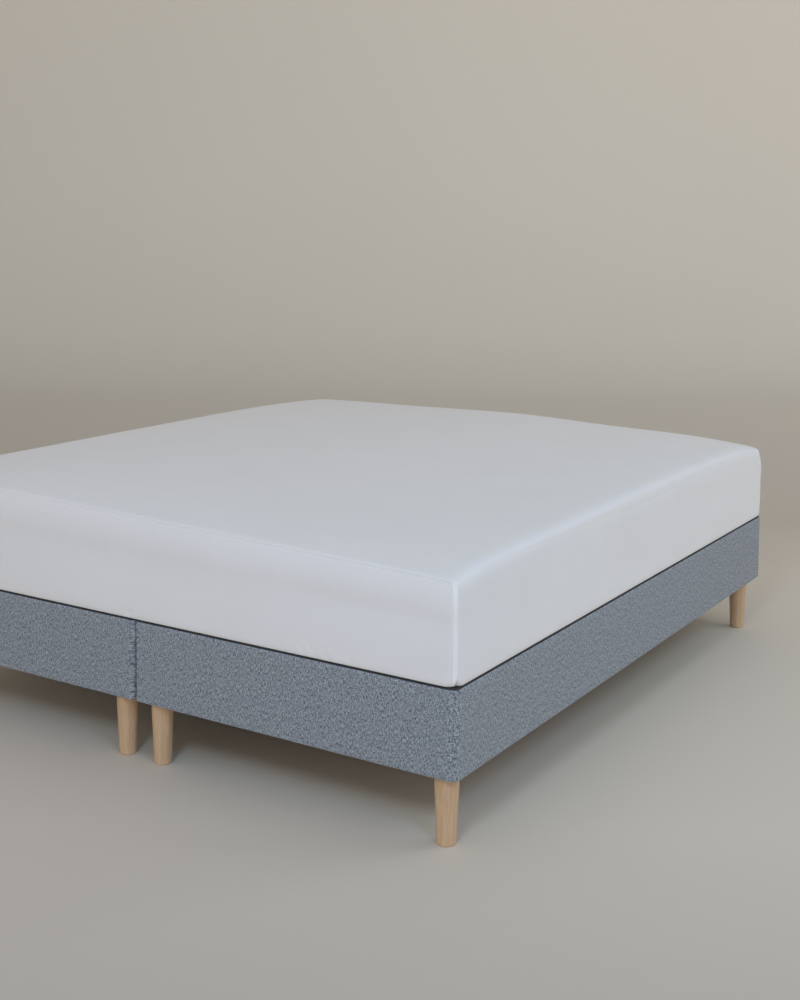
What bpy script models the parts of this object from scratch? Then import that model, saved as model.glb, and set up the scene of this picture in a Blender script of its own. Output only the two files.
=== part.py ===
"""Fitted sheet stretched over a mattress, on a bed base of two upholstered sections with turned legs.

Metres, +Z up. The origin is on the floor under the middle of the bed. X runs across the bed and
Y along it, with the foot end at -Y. Left and right are as seen by someone standing at the foot end.
"""

import math
from collections import namedtuple

import bmesh
import bpy

# ---- driving dimensions --------------------------------------------------------------------
BED_WIDTH = 1.800
BED_LENGTH = 2.000
CONTACT_GAP = 0.0003  # between pieces that touch

# Legs
LEG_HEIGHT = 0.1535
LEG_TOP_RADIUS = 0.028
LEG_FOOT_RADIUS = 0.021
LEG_FOOT_ROUND = 0.003
LEG_SIDES = 24
LEG_FROM_OUTER_SIDE = 0.0435
LEG_FROM_SPLIT = 0.057
LEG_FROM_FOOT_END = 0.0405
LEG_FROM_HEAD_END = 0.091

# Base sections
BASE_HEIGHT = 0.200
SPLIT_GAP = 0.004
OUTER_CORNER_RADIUS = 0.022
OUTER_CORNER_FACETS = 5
SPLIT_CORNER_RADIUS = 0.012
SPLIT_CORNER_FACETS = 3
TOP_EDGE_RADIUS = 0.010
TOP_EDGE_FACETS = 3
BOTTOM_EDGE_RADIUS = 0.008
BOTTOM_EDGE_FACETS = 2
DECK_THICKNESS = 0.0015
DECK_INSET = 0.0105

# Sheet
SHEET_THICKNESS = 0.0016
CROWN = -0.008  # the middle of the top against a surface drawn between its four edges
SEAM_TURN = math.radians(10)  # how far a corner seam sits past the diagonal, towards the long side
SEAM_RIDGE = 0.0025
SEAM_NOTCH = 0.005  # how far the seam's foot is drawn in where the cloth turns under

# Mattress
TOP_CLEARANCE = 0.0020  # air between the mattress and the stretched cloth over it

# ---- levels --------------------------------------------------------------------------------
LEVEL_TOLERANCE = 1e-5
BASE_BOTTOM = LEG_HEIGHT + CONTACT_GAP
BASE_TOP = BASE_BOTTOM + BASE_HEIGHT
DECK_BOTTOM = BASE_TOP + CONTACT_GAP
DECK_TOP = DECK_BOTTOM + DECK_THICKNESS
SHEET_BOTTOM = DECK_TOP + CONTACT_GAP
MATTRESS_BOTTOM = SHEET_BOTTOM + SHEET_THICKNESS + CONTACT_GAP

# ---- shape tables --------------------------------------------------------------------------
# Height of the cloth's top along each edge. "at" runs from -1 to 1 along the edge, towards +X or +Y.
Rise = namedtuple("Rise", "at height")
FOOT_EDGE = [
    Rise(-1.00, 0.597), Rise(-0.88, 0.608), Rise(-0.52, 0.619), Rise(-0.13, 0.611),
    Rise(0.22, 0.603), Rise(0.54, 0.595), Rise(0.84, 0.587), Rise(1.00, 0.583),
]
HEAD_EDGE = [
    Rise(-1.00, 0.592), Rise(-0.88, 0.599), Rise(-0.45, 0.606), Rise(0.03, 0.617),
    Rise(0.40, 0.607), Rise(0.73, 0.601), Rise(0.89, 0.590), Rise(1.00, 0.576),
]
LEFT_EDGE = [
    Rise(-1.00, 0.597), Rise(-0.85, 0.609), Rise(-0.45, 0.614), Rise(0.10, 0.613),
    Rise(0.55, 0.608), Rise(0.85, 0.599), Rise(1.00, 0.592),
]
RIGHT_EDGE = [
    Rise(-1.00, 0.583), Rise(-0.85, 0.600), Rise(-0.40, 0.606), Rise(0.00, 0.609),
    Rise(0.30, 0.609), Rise(0.60, 0.604), Rise(0.85, 0.596), Rise(1.00, 0.576),
]

# Rings of the cloth from the edge of the top, down the sides and under the mattress. "up" is the
# height as a share of the side, and "inset" how far the ring lies inside the bed's outline. The ends
# (foot and head) have a crisp edge with a crease under it, the long sides a softer one.
Ring = namedtuple("Ring", "name end_up side_up end_inset side_inset corner_radius")
SHEET_RINGS = [
    Ring("rim", 1.000, 1.000, 0.0280, 0.0430, 0.020),
    Ring("bead", 0.994, 0.984, 0.0150, 0.0240, 0.024),
    Ring("edge", 0.966, 0.946, 0.0070, 0.0100, 0.028),
    Ring("crease", 0.932, 0.900, 0.0078, 0.0060, 0.031),
    Ring("shoulder", 0.750, 0.770, 0.0015, 0.0042, 0.037),
    Ring("waist", 0.540, 0.540, 0.0034, 0.0038, 0.042),
    Ring("belly", 0.300, 0.300, 0.0002, 0.0004, 0.047),
    Ring("turn", 0.145, 0.145, 0.0002, 0.0004, 0.050),
    Ring("turning under", 0.045, 0.045, 0.0048, 0.0048, 0.049),
    Ring("on the deck", 0.000, 0.000, 0.0120, 0.0120, 0.044),
    Ring("return", 0.000, 0.000, 0.0600, 0.0600, 0.038),
    Ring("hem", 0.000, 0.000, 0.1080, 0.1080, 0.030),
]
RIDGED_RINGS = ("edge", "crease", "shoulder", "waist", "belly", "turn")
NOTCHED_RINGS = ("turning under", "on the deck")

MATTRESS_RINGS = [
    Ring("rim", 1.000, 1.000, 0.0380, 0.0500, 0.030),
    Ring("edge", 0.950, 0.940, 0.0155, 0.0180, 0.038),
    Ring("shoulder", 0.760, 0.760, 0.0080, 0.0080, 0.046),
    Ring("waist", 0.560, 0.560, 0.0090, 0.0090, 0.052),
    Ring("belly", 0.300, 0.300, 0.0050, 0.0050, 0.057),
    Ring("turn", 0.145, 0.145, 0.0060, 0.0060, 0.060),
    Ring("turning under", 0.045, 0.045, 0.0120, 0.0120, 0.059),
    Ring("underside", 0.000, 0.000, 0.0200, 0.0200, 0.052),
]

# Soft hollows in the stretched sides. "face" is foot or right, "along" the X or Y of the middle.
Hollow = namedtuple("Hollow", "face along height spread_along spread_up depth")
HOLLOWS = [
    Hollow("foot", -0.20, 0.485, 0.16, 0.050, 0.0022),
    Hollow("foot", 0.16, 0.450, 0.14, 0.060, 0.0015),
    Hollow("foot", 0.58, 0.495, 0.18, 0.045, 0.0018),
    Hollow("right", -0.60, 0.430, 0.15, 0.050, 0.0018),
    Hollow("right", -0.02, 0.425, 0.20, 0.050, 0.0022),
    Hollow("right", 0.67, 0.485, 0.13, 0.060, 0.0024),
]
HOLLOW_RINGS = ("shoulder", "waist", "belly", "turn")

# Grid stations along half an edge: 0 to 1 is the straight stretch, 1 to 2 the corner up to its seam.
CELLS_ACROSS = 16
CELLS_ALONG = 18
SHEET_CORNER_STATIONS = [1.35, 1.70, 1.92, 2.0]
MATTRESS_CORNER_STATIONS = [1.5, 2.0]


# ---- helpers -------------------------------------------------------------------------------
def clear_scene():
    for item in list(bpy.data.objects):
        bpy.data.objects.remove(item, do_unlink=True)


def make_material(name, colour, roughness):
    material = bpy.data.materials.new(name)
    material.use_nodes = True
    shader = material.node_tree.nodes["Principled BSDF"]
    shader.inputs["Base Color"].default_value = (*colour, 1.0)
    shader.inputs["Roughness"].default_value = roughness
    material.diffuse_color = (*colour, 1.0)
    return material


def add_object(name, mesh, material, collection):
    item = bpy.data.objects.new(name, mesh)
    if not mesh.materials:
        mesh.materials.append(material)
    collection.objects.link(item)
    return item


def finish_mesh(bm, name, sharp_angle=math.radians(35)):
    mesh = bpy.data.meshes.new(name)
    bm.to_mesh(mesh)
    bm.free()
    mesh.shade_smooth()
    mesh.set_sharp_from_angle(angle=sharp_angle)
    return mesh


def curve_value(rows, at):
    """Smooth curve through a table of rises."""
    at = min(max(at, rows[0].at), rows[-1].at)
    i = max(k for k in range(len(rows) - 1) if rows[k].at <= at)
    a, b = rows[i], rows[i + 1]
    before, after = rows[max(i - 1, 0)], rows[min(i + 2, len(rows) - 1)]
    span = b.at - a.at
    slope_a = (b.height - before.height) / (b.at - before.at)
    slope_b = (after.height - a.height) / (after.at - a.at)
    t = (at - a.at) / span
    return (
        (2 * t**3 - 3 * t**2 + 1) * a.height + (t**3 - 2 * t**2 + t) * span * slope_a
        + (3 * t**2 - 2 * t**3) * b.height + (t**3 - t**2) * span * slope_b
    )


def top_height(x, y):
    """Top of the cloth: a surface drawn between its four edges, with a low crown."""
    across, along = 2 * x / BED_WIDTH, 2 * y / BED_LENGTH
    s, t = (across + 1) / 2, (along + 1) / 2
    between_ends = (1 - t) * curve_value(FOOT_EDGE, across) + t * curve_value(HEAD_EDGE, across)
    between_sides = (1 - s) * curve_value(LEFT_EDGE, along) + s * curve_value(RIGHT_EDGE, along)
    foot = (1 - s) * FOOT_EDGE[0].height + s * FOOT_EDGE[-1].height
    head = (1 - s) * HEAD_EDGE[0].height + s * HEAD_EDGE[-1].height
    between_corners = (1 - t) * foot + t * head
    crown = CROWN * math.sin(math.pi * s) * math.sin(math.pi * t)
    return between_ends + between_sides - between_corners + crown


def corner_turn(over_x, over_y):
    """Direction round a corner, from 0 facing the end to 90 degrees facing the long side."""
    half = math.pi / 4
    seam = half + SEAM_TURN
    if over_y >= over_x:
        return seam * over_x / over_y if over_y else 0.0
    return seam + (math.pi / 2 - seam) * (1 - over_y / over_x)


def plan_place(station_x, station_y, half_x, half_y, radius):
    """Place in plan of a grid station on a rounded rectangle."""
    over_x, over_y = max(abs(station_x) - 1, 0.0), max(abs(station_y) - 1, 0.0)
    reach = radius * max(over_x, over_y)
    turn = corner_turn(over_x, over_y)
    x = min(abs(station_x), 1.0) * (half_x - radius) + reach * math.sin(turn)
    y = min(abs(station_y), 1.0) * (half_y - radius) + reach * math.cos(turn)
    return math.copysign(x, station_x), math.copysign(y, station_y), turn


def stations(straight_cells, corner_stations):
    """Grid stations along a whole edge, from seam to seam."""
    straight = [2 * i / straight_cells - 1 for i in range(straight_cells + 1)]
    return [-s for s in reversed(corner_stations)] + straight + list(corner_stations)


def draped_grid(columns, rows, ring_count):
    """A flat grid whose rim is extruded down ring by ring. Points hold (column, row, ring)."""
    bm = bmesh.new()
    across, along = len(columns) - 1, len(rows) - 1
    bmesh.ops.create_grid(bm, x_segments=across, y_segments=along, size=1)
    for point in bm.verts:
        point.co.x = round((point.co.x + 1) / 2 * across)
        point.co.y = round((point.co.y + 1) / 2 * along)
        point.co.z = 0
    rim = [edge for edge in bm.edges if edge.is_boundary]
    for _ in range(ring_count):
        made = bmesh.ops.extrude_edge_only(bm, edges=rim)["geom"]
        new_points = [item for item in made if isinstance(item, bmesh.types.BMVert)]
        bmesh.ops.translate(bm, verts=new_points, vec=(0, 0, 1))
        rim = [item for item in made if isinstance(item, bmesh.types.BMEdge) and item.is_boundary]
    return bm


def place_block(bm, columns, rows, rings, bottom, drop):
    """Moves a draped grid's points to their places: the top, then the rings down to the bottom."""
    for point in bm.verts:
        station_x, station_y = columns[round(point.co.x)], rows[round(point.co.y)]
        ring = rings[round(point.co.z)]
        x, y, turn = plan_place(
            station_x, station_y,
            BED_WIDTH / 2 - ring.side_inset, BED_LENGTH / 2 - ring.end_inset, ring.corner_radius,
        )
        side_share = math.sin(turn) ** 2
        up = ring.end_up + (ring.side_up - ring.end_up) * side_share
        top = top_height(x, y) - drop
        point.co = (x, y, bottom + up * (top - bottom))


def seam_pushes(bm, columns, rows, rings):
    """Points of the corner seams with how far each goes out, or in at the seam's foot."""
    pushes = []
    for point in bm.verts:
        name = rings[round(point.co.z)].name
        at_seam = abs(columns[round(point.co.x)]) == 2 and abs(rows[round(point.co.y)]) == 2
        if at_seam and name in RIDGED_RINGS:
            pushes.append((point, SEAM_RIDGE))
        elif at_seam and name in NOTCHED_RINGS:
            pushes.append((point, -SEAM_NOTCH))
    return pushes


def hollow_depth(point, face):
    """How far the soft hollows draw a point of one face in."""
    along = point.x if face == "foot" else point.y
    depth = 0.0
    for hollow in HOLLOWS:
        if hollow.face == face:
            away = (along - hollow.along) / hollow.spread_along
            above = (point.z - hollow.height) / hollow.spread_up
            depth += hollow.depth * math.exp(-(away**2) - above**2)
    return depth


def face_points(bm, columns, rows, rings):
    """Points of the straight stretches of the foot face and the right face, below the edge."""
    sides = [point for point in bm.verts if rings[round(point.co.z)].name in HOLLOW_RINGS]
    foot = [point for point in sides if rows[round(point.co.y)] == -2]
    right = [point for point in sides if columns[round(point.co.x)] == 2]
    foot = [point for point in foot if abs(columns[round(point.co.x)]) <= 1]
    right = [point for point in right if abs(rows[round(point.co.y)]) <= 1]
    return foot, right


# ---- pieces --------------------------------------------------------------------------------
def add_fitted_sheet(material, collection):
    """One cloth with sewn corners, over the mattress and turned under it, hem edge included."""
    columns = stations(CELLS_ACROSS, SHEET_CORNER_STATIONS)
    rows = stations(CELLS_ALONG, SHEET_CORNER_STATIONS)
    bm = draped_grid(columns, rows, len(SHEET_RINGS) - 1)
    pushes = seam_pushes(bm, columns, rows, SHEET_RINGS)
    foot_face, right_face = face_points(bm, columns, rows, SHEET_RINGS)
    place_block(bm, columns, rows, SHEET_RINGS, SHEET_BOTTOM, 0.0)
    seam_turn = math.pi / 4 + SEAM_TURN
    for point, push in pushes:
        point.co.x += math.copysign(push * math.sin(seam_turn), point.co.x)
        point.co.y += math.copysign(push * math.cos(seam_turn), point.co.y)
    for point in foot_face:
        point.co.y += hollow_depth(point.co, "foot")
    for point in right_face:
        point.co.x -= hollow_depth(point.co, "right")
    sheet = add_object("fitted_sheet", finish_mesh(bm, "fitted_sheet"), material, collection)
    wall = sheet.modifiers.new("Cloth thickness", "SOLIDIFY")
    wall.thickness = SHEET_THICKNESS
    wall.offset = -1.0
    return sheet


def add_mattress(material, collection):
    columns = stations(CELLS_ACROSS, MATTRESS_CORNER_STATIONS)
    rows = stations(CELLS_ALONG, MATTRESS_CORNER_STATIONS)
    bm = draped_grid(columns, rows, len(MATTRESS_RINGS) - 1)
    place_block(
        bm, columns, rows, MATTRESS_RINGS, MATTRESS_BOTTOM, SHEET_THICKNESS + TOP_CLEARANCE
    )
    bmesh.ops.holes_fill(bm, edges=[edge for edge in bm.edges if edge.is_boundary], sides=0)
    return add_object("mattress", finish_mesh(bm, "mattress"), material, collection)


def round_edges(bm, chosen, radius, segments):
    edges = [edge for edge in bm.edges if chosen(edge)]
    bmesh.ops.bevel(
        bm, geom=edges, offset=radius, offset_type="OFFSET", segments=segments, profile=0.5,
        affect="EDGES", clamp_overlap=True,
    )


def block(low, high):
    bm = bmesh.new()
    bmesh.ops.create_cube(bm, size=1)
    size = [b - a for a, b in zip(low, high)]
    middle = [(a + b) / 2 for a, b in zip(low, high)]
    bmesh.ops.scale(bm, verts=bm.verts, vec=size)
    bmesh.ops.translate(bm, verts=bm.verts, vec=middle)
    return bm


def is_upright(edge):
    a, b = edge.verts
    return abs(a.co.z - b.co.z) > abs(a.co.x - b.co.x) + abs(a.co.y - b.co.y)


def lies_at(edge, level):
    return all(abs(point.co.z - level) < LEVEL_TOLERANCE for point in edge.verts)


def section_span(side):
    """Lowest and highest X of a base section. side is -1 for left and 1 for right."""
    ends = sorted((side * SPLIT_GAP / 2, side * BED_WIDTH / 2))
    return ends[0], ends[1]


def rounded_section(side, inset, bottom, top):
    """Box of one section's outline with its upright edges rounded, tighter at the split."""
    x_low, x_high = section_span(side)
    y_half = BED_LENGTH / 2 - inset
    middle = (x_low + x_high) / 2
    bm = block((x_low + inset, -y_half, bottom), (x_high - inset, y_half, top))

    def outside(edge):
        return is_upright(edge) and (edge.verts[0].co.x - middle) * side > 0

    def at_split(edge):
        return is_upright(edge) and (edge.verts[0].co.x - middle) * side < 0

    round_edges(bm, outside, OUTER_CORNER_RADIUS - inset, OUTER_CORNER_FACETS)
    round_edges(bm, at_split, SPLIT_CORNER_RADIUS - inset, SPLIT_CORNER_FACETS)
    return bm


def add_base_section(name, side, material, collection):
    """Upholstered box: rounded upright corners, a soft top edge and a tighter bottom edge."""
    bm = rounded_section(side, 0.0, BASE_BOTTOM, BASE_TOP)
    round_edges(bm, lambda edge: lies_at(edge, BASE_TOP), TOP_EDGE_RADIUS, TOP_EDGE_FACETS)
    round_edges(bm, lambda edge: lies_at(edge, BASE_BOTTOM), BOTTOM_EDGE_RADIUS, BOTTOM_EDGE_FACETS)
    return add_object(name, finish_mesh(bm, name), material, collection)


def add_deck_cloth(name, side, material, collection):
    """Dark cloth over the top of a section, just inside its rounded edge."""
    bm = rounded_section(side, DECK_INSET, DECK_BOTTOM, DECK_TOP)
    return add_object(name, finish_mesh(bm, name), material, collection)


def leg_profile():
    """Half outline of a leg from the middle of its top down to the middle of its foot."""
    bm = bmesh.new()
    foot_angle = math.radians(45)
    outline = [
        (0.0, LEG_HEIGHT),
        (LEG_TOP_RADIUS, LEG_HEIGHT),
        (LEG_FOOT_RADIUS, LEG_FOOT_ROUND),
        (
            LEG_FOOT_RADIUS - LEG_FOOT_ROUND * (1 - math.cos(foot_angle)),
            LEG_FOOT_ROUND * (1 - math.sin(foot_angle)),
        ),
        (LEG_FOOT_RADIUS - LEG_FOOT_ROUND, 0.0),
        (0.0, 0.0),
    ]
    points = [bm.verts.new((radius, 0.0, height)) for radius, height in outline]
    for upper, lower in zip(points, points[1:]):
        bm.edges.new((upper, lower))
    mesh = bpy.data.meshes.new("leg")
    bm.to_mesh(mesh)
    bm.free()
    return mesh


def add_leg(name, x, y, profile, material, collection):
    leg = add_object(name, profile, material, collection)
    leg.location = (x, y, 0.0)
    turning = leg.modifiers.new("Turning", "SCREW")
    turning.angle = math.tau
    turning.steps = LEG_SIDES
    turning.render_steps = LEG_SIDES
    turning.use_merge_vertices = True
    turning.merge_threshold = 0.0001
    turning.use_smooth_shade = True
    return leg


def add_legs(material, collection):
    profile = leg_profile()
    across = {
        "outer": BED_WIDTH / 2 - LEG_FROM_OUTER_SIDE,
        "inner": LEG_FROM_SPLIT,
    }
    along = {
        "foot": LEG_FROM_FOOT_END - BED_LENGTH / 2,
        "head": BED_LENGTH / 2 - LEG_FROM_HEAD_END,
    }
    for side_name, side in (("left", -1), ("right", 1)):
        for end_name, y in along.items():
            for place_name, x in across.items():
                name = f"leg_{side_name}_{end_name}_{place_name}"
                add_leg(name, side * x, y, profile, material, collection)


def main():
    clear_scene()
    collection = bpy.data.collections.new("fitted_sheet_on_bed")
    bpy.context.scene.collection.children.link(collection)

    cotton = make_material("white_cotton", (0.80, 0.82, 0.84), 0.80)
    ticking = make_material("mattress_ticking", (0.78, 0.76, 0.72), 0.85)
    deck = make_material("black_deck_cloth", (0.02, 0.02, 0.022), 0.90)
    upholstery = make_material("grey_blue_upholstery", (0.20, 0.235, 0.275), 0.90)
    wood = make_material("pale_oak", (0.52, 0.40, 0.27), 0.45)

    add_fitted_sheet(cotton, collection)
    add_mattress(ticking, collection)
    for side_name, side in (("left", -1), ("right", 1)):
        add_deck_cloth(f"deck_cloth_{side_name}", side, deck, collection)
        add_base_section(f"base_{side_name}", side, upholstery, collection)
    add_legs(wood, collection)


main()
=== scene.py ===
"""Looks of a fitted sheet stretched over a mattress, on a bed base of two upholstered sections.

Metres, +Z up. The origin is on the floor under the middle of the bed, the foot end is at -Y, and
left and right are as seen by someone standing at the foot end. Every place comes from the frame.
"""

import math
from collections import namedtuple

import bmesh
import bpy
from bpy.props import FloatProperty, FloatVectorProperty, IntProperty, PointerProperty
from mathutils import Matrix, Vector, noise


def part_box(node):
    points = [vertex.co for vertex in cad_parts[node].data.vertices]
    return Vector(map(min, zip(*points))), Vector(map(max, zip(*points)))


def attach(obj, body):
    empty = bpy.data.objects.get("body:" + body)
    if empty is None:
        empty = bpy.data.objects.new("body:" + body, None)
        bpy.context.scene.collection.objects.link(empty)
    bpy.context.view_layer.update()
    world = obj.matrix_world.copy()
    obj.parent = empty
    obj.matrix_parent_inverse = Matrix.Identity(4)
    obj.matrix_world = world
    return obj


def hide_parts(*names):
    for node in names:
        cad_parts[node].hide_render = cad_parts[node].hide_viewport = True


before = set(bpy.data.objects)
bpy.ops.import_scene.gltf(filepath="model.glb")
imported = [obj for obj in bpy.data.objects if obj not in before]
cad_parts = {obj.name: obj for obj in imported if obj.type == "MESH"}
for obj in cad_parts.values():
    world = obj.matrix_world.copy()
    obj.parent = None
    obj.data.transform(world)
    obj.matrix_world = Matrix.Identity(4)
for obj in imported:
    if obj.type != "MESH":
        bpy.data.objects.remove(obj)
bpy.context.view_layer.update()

bl_info = {
    "name": "Fitted Sheet on a Bed",
    "version": (1, 0, 0),
    "blender": (4, 5, 0),
    "location": "View3D > Sidebar > Bed",
    "description": "Builds a stretched fitted sheet, its mattress and an upholstered bed base",
    "category": "Object",
}

# ---- places taken from the frame -----------------------------------------------------
BODY = "root"
SIDES = {"left": -1, "right": 1}
BASE_LOW, BASE_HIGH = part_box("base_right")
SHEET_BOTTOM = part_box("fitted_sheet")[0].z
MATTRESS_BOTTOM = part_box("mattress")[0].z
LEG_NODES = sorted(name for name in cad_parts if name.startswith("leg_"))
HALF_WIDTH = BASE_HIGH.x
HALF_LENGTH = BASE_HIGH.y
FLAT_CLOTH = "flat_cloth"  # UV map with the places of a cloth's points on its flat cut, in metres

# ---- shape of the stretched cloth ----------------------------------------------------
# Height of the cloth's top along each edge. "at" runs from -1 to 1 along the edge, towards +X or +Y.
Rise = namedtuple("Rise", "at height")
FOOT_EDGE = [
    Rise(-1.00, 0.597), Rise(-0.88, 0.608), Rise(-0.52, 0.619), Rise(-0.13, 0.611),
    Rise(0.22, 0.603), Rise(0.54, 0.595), Rise(0.84, 0.587), Rise(1.00, 0.583),
]
HEAD_EDGE = [
    Rise(-1.00, 0.586), Rise(-0.88, 0.594), Rise(-0.45, 0.602), Rise(0.03, 0.611),
    Rise(0.40, 0.601), Rise(0.73, 0.594), Rise(0.89, 0.584), Rise(1.00, 0.573),
]
LEFT_EDGE = [
    Rise(-1.00, 0.597), Rise(-0.85, 0.609), Rise(-0.45, 0.610), Rise(0.10, 0.609),
    Rise(0.55, 0.606), Rise(0.85, 0.596), Rise(1.00, 0.586),
]
RIGHT_EDGE = [
    Rise(-1.00, 0.583), Rise(-0.85, 0.600), Rise(-0.40, 0.606), Rise(0.00, 0.609),
    Rise(0.30, 0.609), Rise(0.60, 0.604), Rise(0.85, 0.594), Rise(1.00, 0.573),
]
CROWN = -0.008  # the middle of the top against a surface drawn between its four edges
SEAM_ANGLE = math.pi / 4 + math.radians(10)  # a corner seam sits past the diagonal, to the long side
FLAT_CORNER = 0.045  # length of an edge on the flat cut that goes round to a corner seam

# Rings of the cloth from inside the top, over its edge, down the sides and under the mattress. "up" is
# the height as a share of the side, "inset" how far the ring lies inside the bed's outline, and "cells"
# how many rows of faces lie between it and the next ring. The ends have a crisp edge over a crease.
Ring = namedtuple("Ring", "name end_up side_up end_inset side_inset corner_radius cells")
SHEET_RINGS = [
    Ring("inside the top", 1.0000, 1.000, 0.1150, 0.1250, 0.014, 2),
    Ring("before the rim", 1.0000, 0.999, 0.0550, 0.0750, 0.013, 2),
    Ring("rim", 0.9990, 0.996, 0.0250, 0.0450, 0.012, 3),
    Ring("roll", 0.9935, 0.984, 0.0165, 0.0260, 0.012, 3),
    Ring("bead", 0.9830, 0.964, 0.0125, 0.0150, 0.012, 2),
    Ring("foot of the bead", 0.9730, 0.942, 0.0113, 0.0100, 0.013, 2),
    Ring("crease", 0.9665, 0.926, 0.0116, 0.0084, 0.014, 2),
    Ring("under the crease", 0.9600, 0.910, 0.0102, 0.0074, 0.015, 2),
    Ring("band", 0.9350, 0.885, 0.0082, 0.0062, 0.016, 4),
    Ring("border", 0.8750, 0.840, 0.0040, 0.0052, 0.015, 5),
    Ring("shoulder", 0.7900, 0.770, 0.0008, 0.0042, 0.014, 3),
    Ring("under the shoulder", 0.7100, 0.700, 0.0000, 0.0040, 0.014, 3),
    Ring("waist", 0.5900, 0.560, 0.0015, 0.0038, 0.016, 5),
    Ring("belly", 0.3000, 0.300, 0.0004, 0.0014, 0.023, 4),
    Ring("turn", 0.1450, 0.145, 0.0000, 0.0006, 0.029, 3),
    Ring("low", 0.0900, 0.090, 0.0002, 0.0004, 0.030, 3),
    Ring("turning under", 0.0450, 0.045, 0.0006, 0.0007, 0.031, 3),
    Ring("tucked", 0.0200, 0.020, 0.0016, 0.0016, 0.032, 3),
    Ring("nearly down", 0.0040, 0.004, 0.0030, 0.0030, 0.033, 2),
    Ring("on the deck", 0.0000, 0.000, 0.0046, 0.0046, 0.034, 2),
    Ring("return", 0.0000, 0.000, 0.0600, 0.0600, 0.030, 2),
    Ring("hem", 0.0000, 0.000, 0.1080, 0.1080, 0.026, 0),
]
MATTRESS_RINGS = [
    Ring("inside the top", 1.000, 1.000, 0.1250, 0.1350, 0.024, 2),
    Ring("rim", 0.997, 0.995, 0.0400, 0.0560, 0.026, 3),
    Ring("tape", 0.975, 0.960, 0.0175, 0.0230, 0.032, 3),
    Ring("under the tape", 0.945, 0.925, 0.0165, 0.0170, 0.036, 3),
    Ring("border", 0.900, 0.880, 0.0125, 0.0130, 0.040, 3),
    Ring("shoulder", 0.760, 0.760, 0.0085, 0.0095, 0.046, 3),
    Ring("waist", 0.550, 0.550, 0.0100, 0.0100, 0.050, 4),
    Ring("belly", 0.300, 0.300, 0.0062, 0.0064, 0.055, 4),
    Ring("turn", 0.145, 0.145, 0.0066, 0.0068, 0.058, 3),
    Ring("turning under", 0.045, 0.045, 0.0130, 0.0130, 0.058, 2),
    Ring("underside", 0.000, 0.000, 0.0230, 0.0230, 0.052, 0),
]
MATTRESS_CLEARANCE = 0.0042  # from the top of the sheet to the top of the mattress
NOMINAL_SIDE = 0.25  # spaces the points of a ring curve evenly, and sets no size

# Soft hollows and small puckers in the stretched sides. "along" is the X or Y of the middle, "lean" how
# far it shifts along for each metre up, and a negative depth stands out.
Dent = namedtuple("Dent", "face along height spread_along spread_up lean depth")
DENTS = [
    Dent("foot", -0.20, 0.485, 0.160, 0.050, 0.0, 0.0022),
    Dent("foot", 0.16, 0.450, 0.140, 0.060, 0.0, 0.0015),
    Dent("foot", 0.58, 0.495, 0.180, 0.045, 0.0, 0.0018),
    Dent("foot", -0.018, 0.369, 0.009, 0.007, 0.4, 0.0022),
    Dent("foot", 0.004, 0.371, 0.007, 0.010, 0.4, -0.0012),
    Dent("foot", 0.205, 0.385, 0.010, 0.022, 1.3, 0.0007),
    Dent("foot", 0.235, 0.380, 0.010, 0.020, 1.3, 0.0006),
    Dent("foot", 0.500, 0.372, 0.007, 0.016, -0.7, 0.0009),
    Dent("foot", 0.530, 0.375, 0.006, 0.018, -0.7, 0.0008),
    Dent("foot", 0.565, 0.370, 0.008, 0.014, -0.6, 0.0010),
    Dent("foot", 0.600, 0.372, 0.006, 0.017, -0.5, 0.0008),
    Dent("foot", 0.630, 0.368, 0.007, 0.012, -0.4, 0.0007),
    Dent("right", -0.60, 0.430, 0.150, 0.050, 0.0, 0.0018),
    Dent("right", -0.02, 0.425, 0.200, 0.050, 0.0, 0.0022),
    Dent("right", 0.67, 0.485, 0.130, 0.060, 0.0, 0.0024),
    Dent("right", 0.40, 0.400, 0.090, 0.030, 0.0, 0.0012),
    Dent("right", 0.900, 0.480, 0.010, 0.055, -0.3, 0.0012),
    Dent("right", 0.928, 0.465, 0.008, 0.050, -0.3, 0.0010),
    Dent("right", 0.120, 0.364, 0.012, 0.008, 0.0, 0.0012),
    Dent("left", 0.35, 0.430, 0.160, 0.050, 0.0, 0.0020),
    Dent("left", -0.40, 0.480, 0.180, 0.050, 0.0, 0.0018),
    Dent("head", 0.25, 0.440, 0.170, 0.050, 0.0, 0.0020),
    Dent("head", -0.45, 0.480, 0.150, 0.050, 0.0, 0.0018),
]
SMALL_DENT = 0.015  # dents narrower than this get closer columns
PLAIN_PARTS, CLOSE_PARTS = 3, 8  # columns of a side to a cell of the top, mostly and at small dents

# Shallow crease under the soft edge of the long sides, as the drop from the top at places along them.
SIDE_CREASE = [
    Rise(-1.0, 0.016), Rise(-0.8, 0.017), Rise(-0.35, 0.028), Rise(0.10, 0.039),
    Rise(0.53, 0.024), Rise(0.85, 0.018), Rise(1.0, 0.016),
]
SIDE_CREASE_DEPTH = 0.0005
SIDE_CREASE_WIDTH = 0.0045
CORNER_POINT, POINT_SPREAD = 0.0020, 0.012  # the top end of a corner seam pokes out a little
SEAM_REACH = 0.050  # no dent or crease comes closer to a seam without fading
NOTCH_WIDTH = 0.0065
GATHER_PITCH, GATHER_SPREAD = 0.0105, 0.017
STITCH_ROW = 0.31  # each row of stitches lies this share of the seam's width from its middle
TOP_WAVE = 0.0016  # height of the faint waves in the top
FOOT_WAVE = 0.0005  # height of the small unevenness just above the hem's turn

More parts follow.
